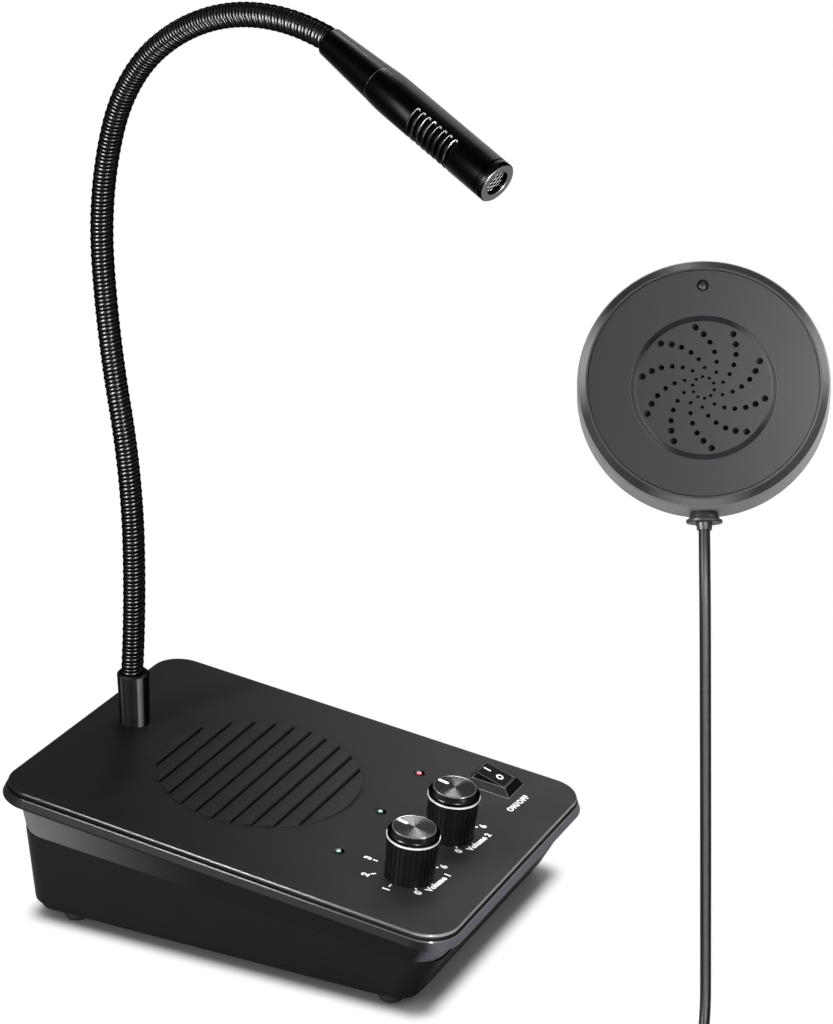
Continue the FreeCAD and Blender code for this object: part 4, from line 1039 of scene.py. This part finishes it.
def add_disc_trim(rubber, glass):
    outward = DISC @ moved(0, 0, -GLAND_DEPTH) @ turned(90, "X")
    gland = turned_piece("outer_gland_collar", GLAND_PROFILE, outward, rubber, 64, 30)
    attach(gland, "counter_unit")
    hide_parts("outer_gland")
    lens = turned_piece("outer_mic_lens", LENS_PROFILE, DISC @ moved(*LENS_PLACE), glass, 32, 60)
    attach(lens, "counter_unit")


# Volume knobs

POINTER_START = 2.7
POINTER_END = 6.9
POINTER_WIDTH = 1.25
POINTER_RISE = 0.16
POINTER_TURN = 80.0


def cap_profile():
    """Skirt, rounded shoulder and bevel, then a face cut with fine rings."""
    skirt_top = CAP_FOOT + CAP_SKIRT
    profile = [(0.0, CAP_FOOT), (CAP_RADIUS - 0.15, CAP_FOOT), (CAP_RADIUS, CAP_FOOT + 0.15),
               (CAP_RADIUS, skirt_top)]
    for step in range(1, SHOULDER_STEPS + 1):
        turn = math.radians(45 * step / SHOULDER_STEPS)
        profile.append((CAP_RADIUS - CAP_SHOULDER * (1 - math.cos(turn)),
                        skirt_top + CAP_SHOULDER * math.sin(turn)))
    profile += [(CAP_FACE_RADIUS + 0.12, CAP_TOP - 0.1), (CAP_FACE_RADIUS + 0.02, CAP_TOP - 0.02),
                (CAP_FACE_RADIUS, CAP_TOP)]
    count = int((CAP_FACE_RADIUS - 0.3) / CAP_GROOVE)
    for step in range(1, count * GROOVE_STEPS + 1):
        radius = CAP_FACE_RADIUS - 0.1 - step * CAP_GROOVE / GROOVE_STEPS
        wave = 0.5 - 0.5 * math.cos(2 * math.pi * step / GROOVE_STEPS)
        profile.append((radius, CAP_TOP - 0.02 - CAP_GROOVE_DEPTH * wave))
    profile.append((0.0, CAP_TOP - 0.05))
    return profile


def add_knob(side, ink):
    place = PANEL @ moved(*KNOB_PLACES[side])
    body = side + "_volume"
    face = cap_metal(side + "_cap_metal", place.translation)
    cap = turned_piece(side + "_cap", cap_profile(), place, face, 96, 20)
    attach(cap, body)
    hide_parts(side + "_knob_cap")
    pointer = add_bar(side + "_pointer", place @ turned(POINTER_TURN, "Z"), POINTER_START,
                      POINTER_END, POINTER_WIDTH, CAP_TOP - 0.1, CAP_TOP + POINTER_RISE, ink)
    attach(pointer, body)


# Printing on the panel and the switch

INK_RISE = 0.02
LETTER_THICKNESS = 0.01
LETTER_WEIGHT = 0.18
DIAL_SHIFT = (1.9, 2.4)
# Inner end, outer end and width of a tick, and of the dot at the last number
DIAL_TICK = (10.1, 12.1, 0.65)
DIAL_DOT = (10.9, 11.9, 1.0)
DIAL_NUMBER_RADIUS = 13.8
DIAL_ZERO = 225.0
DIAL_STEP = 45.0
DIAL_LAST = 6
NUMBER_SIZE = 3.5
CAPTION_SIZE = 3.1
CAPTION_TURN = -5.4
# Each dial's caption and its place on the panel
CAPTIONS = {"left": ("Volume 1", (-27.4, -68.5)), "right": ("Volume 2", (3.8, -68.8))}
SWITCH_WORDS_PLACE = (35.0, -69.2)
# On the rocker: the line's two ends and width, and the ring's two radii
ON_MARK_PLACE, ON_MARK = (0.6, 2.0), (0, 3.0, 0.85)
OFF_MARK_PLACE, OFF_MARK_RADII = (0.1, -1.8), (0.75, 1.38)


def add_words(name, words, place, ink, size, turn=0.0, spacing=1.0):
    """Printed words, centred on a place of the panel."""
    data = bpy.data.curves.new(name, "FONT")
    data.body = words
    data.size = size * MM
    data.align_x = "CENTER"
    data.align_y = "CENTER"
    data.extrude = LETTER_THICKNESS * MM
    data.offset = LETTER_WEIGHT * MM
    data.space_character = spacing
    data.resolution_u = 4
    data.materials.append(ink)
    piece = added(name, data)
    printed = PANEL @ moved(*place, INK_RISE) @ turned(turn, "Z")
    printed.translation = printed.translation * MM
    piece.matrix_world = printed
    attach(piece, "counter_unit")


def add_dial(side, ink):
    """Numbers round a knob, each with its tick, and a dot at the last one."""
    x, y = [at + shift for at, shift in zip(KNOB_PLACES[side], DIAL_SHIFT)]
    for number in range(DIAL_LAST + 1):
        turn = math.radians(DIAL_ZERO - DIAL_STEP * number)
        place = (x + DIAL_NUMBER_RADIUS * math.cos(turn), y + DIAL_NUMBER_RADIUS * math.sin(turn))
        add_words("%s_number_%d" % (side, number), str(number), place, ink, NUMBER_SIZE)
        name, size = "%s_tick_%d" % (side, number), DIAL_TICK
        if number == DIAL_LAST:
            name, size = "%s_dot" % side, DIAL_DOT
        spot = PANEL @ moved(x, y) @ Matrix.Rotation(turn, 4, "Z")
        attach(add_bar(name, spot, *size, 0, INK_RISE, ink), "counter_unit")
    add_words(side + "_caption", *CAPTIONS[side], ink, CAPTION_SIZE, CAPTION_TURN, spacing=1.12)


def add_switch_marks(ink):
    """Line at the rocker's ON end, ring at its OFF end."""
    upright = PADDLE @ moved(*ON_MARK_PLACE) @ turned(90, "Z")
    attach(add_bar("on_mark", upright, *ON_MARK, 0, INK_RISE, ink), "power_rocker")
    inner, outer = OFF_MARK_RADII
    profile = [(inner, 0), (inner, INK_RISE), (outer, INK_RISE), (outer, 0)]
    ring = turned_piece("off_mark", profile, PADDLE @ moved(*OFF_MARK_PLACE), ink, 40, 35)
    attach(ring, "power_rocker")


def add_floor(material):
    corners = [(-1, -1), (1, -1), (1, 1), (-1, 1)]
    points = [(x * FLOOR_HALF, y * FLOOR_HALF, -FLOOR_DROP) for x, y in corners]
    mesh_piece("floor", points, [(0, 1, 2, 3)], material, 35)


# Assembly

def dressed(name, material):
    """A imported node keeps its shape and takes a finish."""
    mesh = nodes[name].data
    mesh.materials.clear()
    mesh.materials.append(material)
    mesh.polygons.foreach_set("use_smooth", [True] * len(mesh.polygons))
    mesh.set_sharp_from_angle(angle=math.radians(30))


def dress_packed_nodes():
    finishes = {
        panel_plastic(): ["top_cover"],
        moulded("case_plastic", 0.0065, 0.009, 0.42, 0.02): ["bottom_case"],
        moulded("knob_plastic", 0.004, 0.006, 0.34, 0.07, 0.25): ["left_knob", "right_knob"],
        satin_chrome(): ["left_knob_ring", "right_knob_ring"],
        switch_plastic(): ["switch_body", "switch_paddle"],
        moulded("disc_plastic", 0.03, 0.036, 0.42, 0.3, 0.3, 0.008): ["outer_back"],
        disc_shell(): ["outer_housing"],
        disc_face(): ["outer_face"],
        ferrule_plating(): ["neck_ferrule"],
        mic_plating("mic_plating", slotted=False): ["mic_tail"],
        ring_enamel(): ["mic_end_ring"],
        rubbed_steel("plain_steel", 0.55, 0.28): [
            "case_screws", "speaker_frame", "speaker_screws", "board_screws", "control_nuts",
            "left_shaft", "right_shaft", "switch_terminals", "neck_nut", "outer_screws",
            "outer_speaker"],
        rubbed_steel("plug_plating", 0.75, 0.18): ["plug_pin"],
        cord_sheath("black_rubber", 0.010, 0.55, 0.012): [
            "rubber_feet", "plug_body", "mic_capsule"],
        moulded("component_resin", 0.02, 0.03, 0.6, 0.3): [
            "amplifier_chip", "capacitors", "left_control", "right_control", "power_socket",
            "unit_socket", "outer_mic"],
        lacquered_board(): ["circuit_board", "socket_board", "outer_board"],
        woven_cloth(): ["grille_cloth"],
        pressed_paper(): ["speaker_cone", "outer_cone"],
        cell_foam("foam", 0.05): ["speaker_gasket", "outer_pad"],
        sintered("magnet_iron", 0.12): ["speaker_magnet"],
        led_lens("red_lens", [RED_LED], glow=(1.0, 0.45, 0.55, 1), body=(0.3, 0.006, 0.03, 1),
                 rim=(0.02, 0.0, 0.002, 1), heart_radius=0.6, strength=1.2): ["led_red"],
        # The green LEDs are unlit: their glowing heart is a painted glint
        led_lens("green_lens", GREEN_LEDS, glow=(0.55, 0.8, 0.7, 1), body=(0.01, 0.04, 0.03, 1),
                 rim=(0.002, 0.006, 0.005, 1), heart_radius=0.5, strength=1.5): ["leds_green"],
    }
    for material, names in finishes.items():
        for name in names:
            dressed(name, material)


def main():
    add_camera()
    add_lamps()
    add_world()
    add_cord(cord_sheath("cord_sheath", 0.006, 0.38, 0.09))
    dress_packed_nodes()
    add_neck(neck_plating())
    add_mic_sleeve(mic_plating("mic_barrel_plating", slotted=True))
    add_disc_trim(moulded("gland_rubber", 0.012, 0.017, 0.42, 0.1),
                  moulded("lens_smoke", 0.02, 0.028, 0.4, 0.05))
    add_mic_mesh(rubbed_steel("mesh_wire", 0.3, 0.4, (1, 1, 1)))
    ink = printed_ink()
    for side in KNOB_PLACES:
        add_knob(side, ink)
    for side in KNOB_PLACES:
        add_dial(side, ink)
    add_words("switch_caption", "ON/OFF", SWITCH_WORDS_PLACE, ink, CAPTION_SIZE, CAPTION_TURN,
              spacing=1.2)
    add_switch_marks(ink)
    add_floor(floor_paper())
    bpy.context.scene.view_settings.view_transform = "Standard"


main()
bpy.context.view_layer.update()
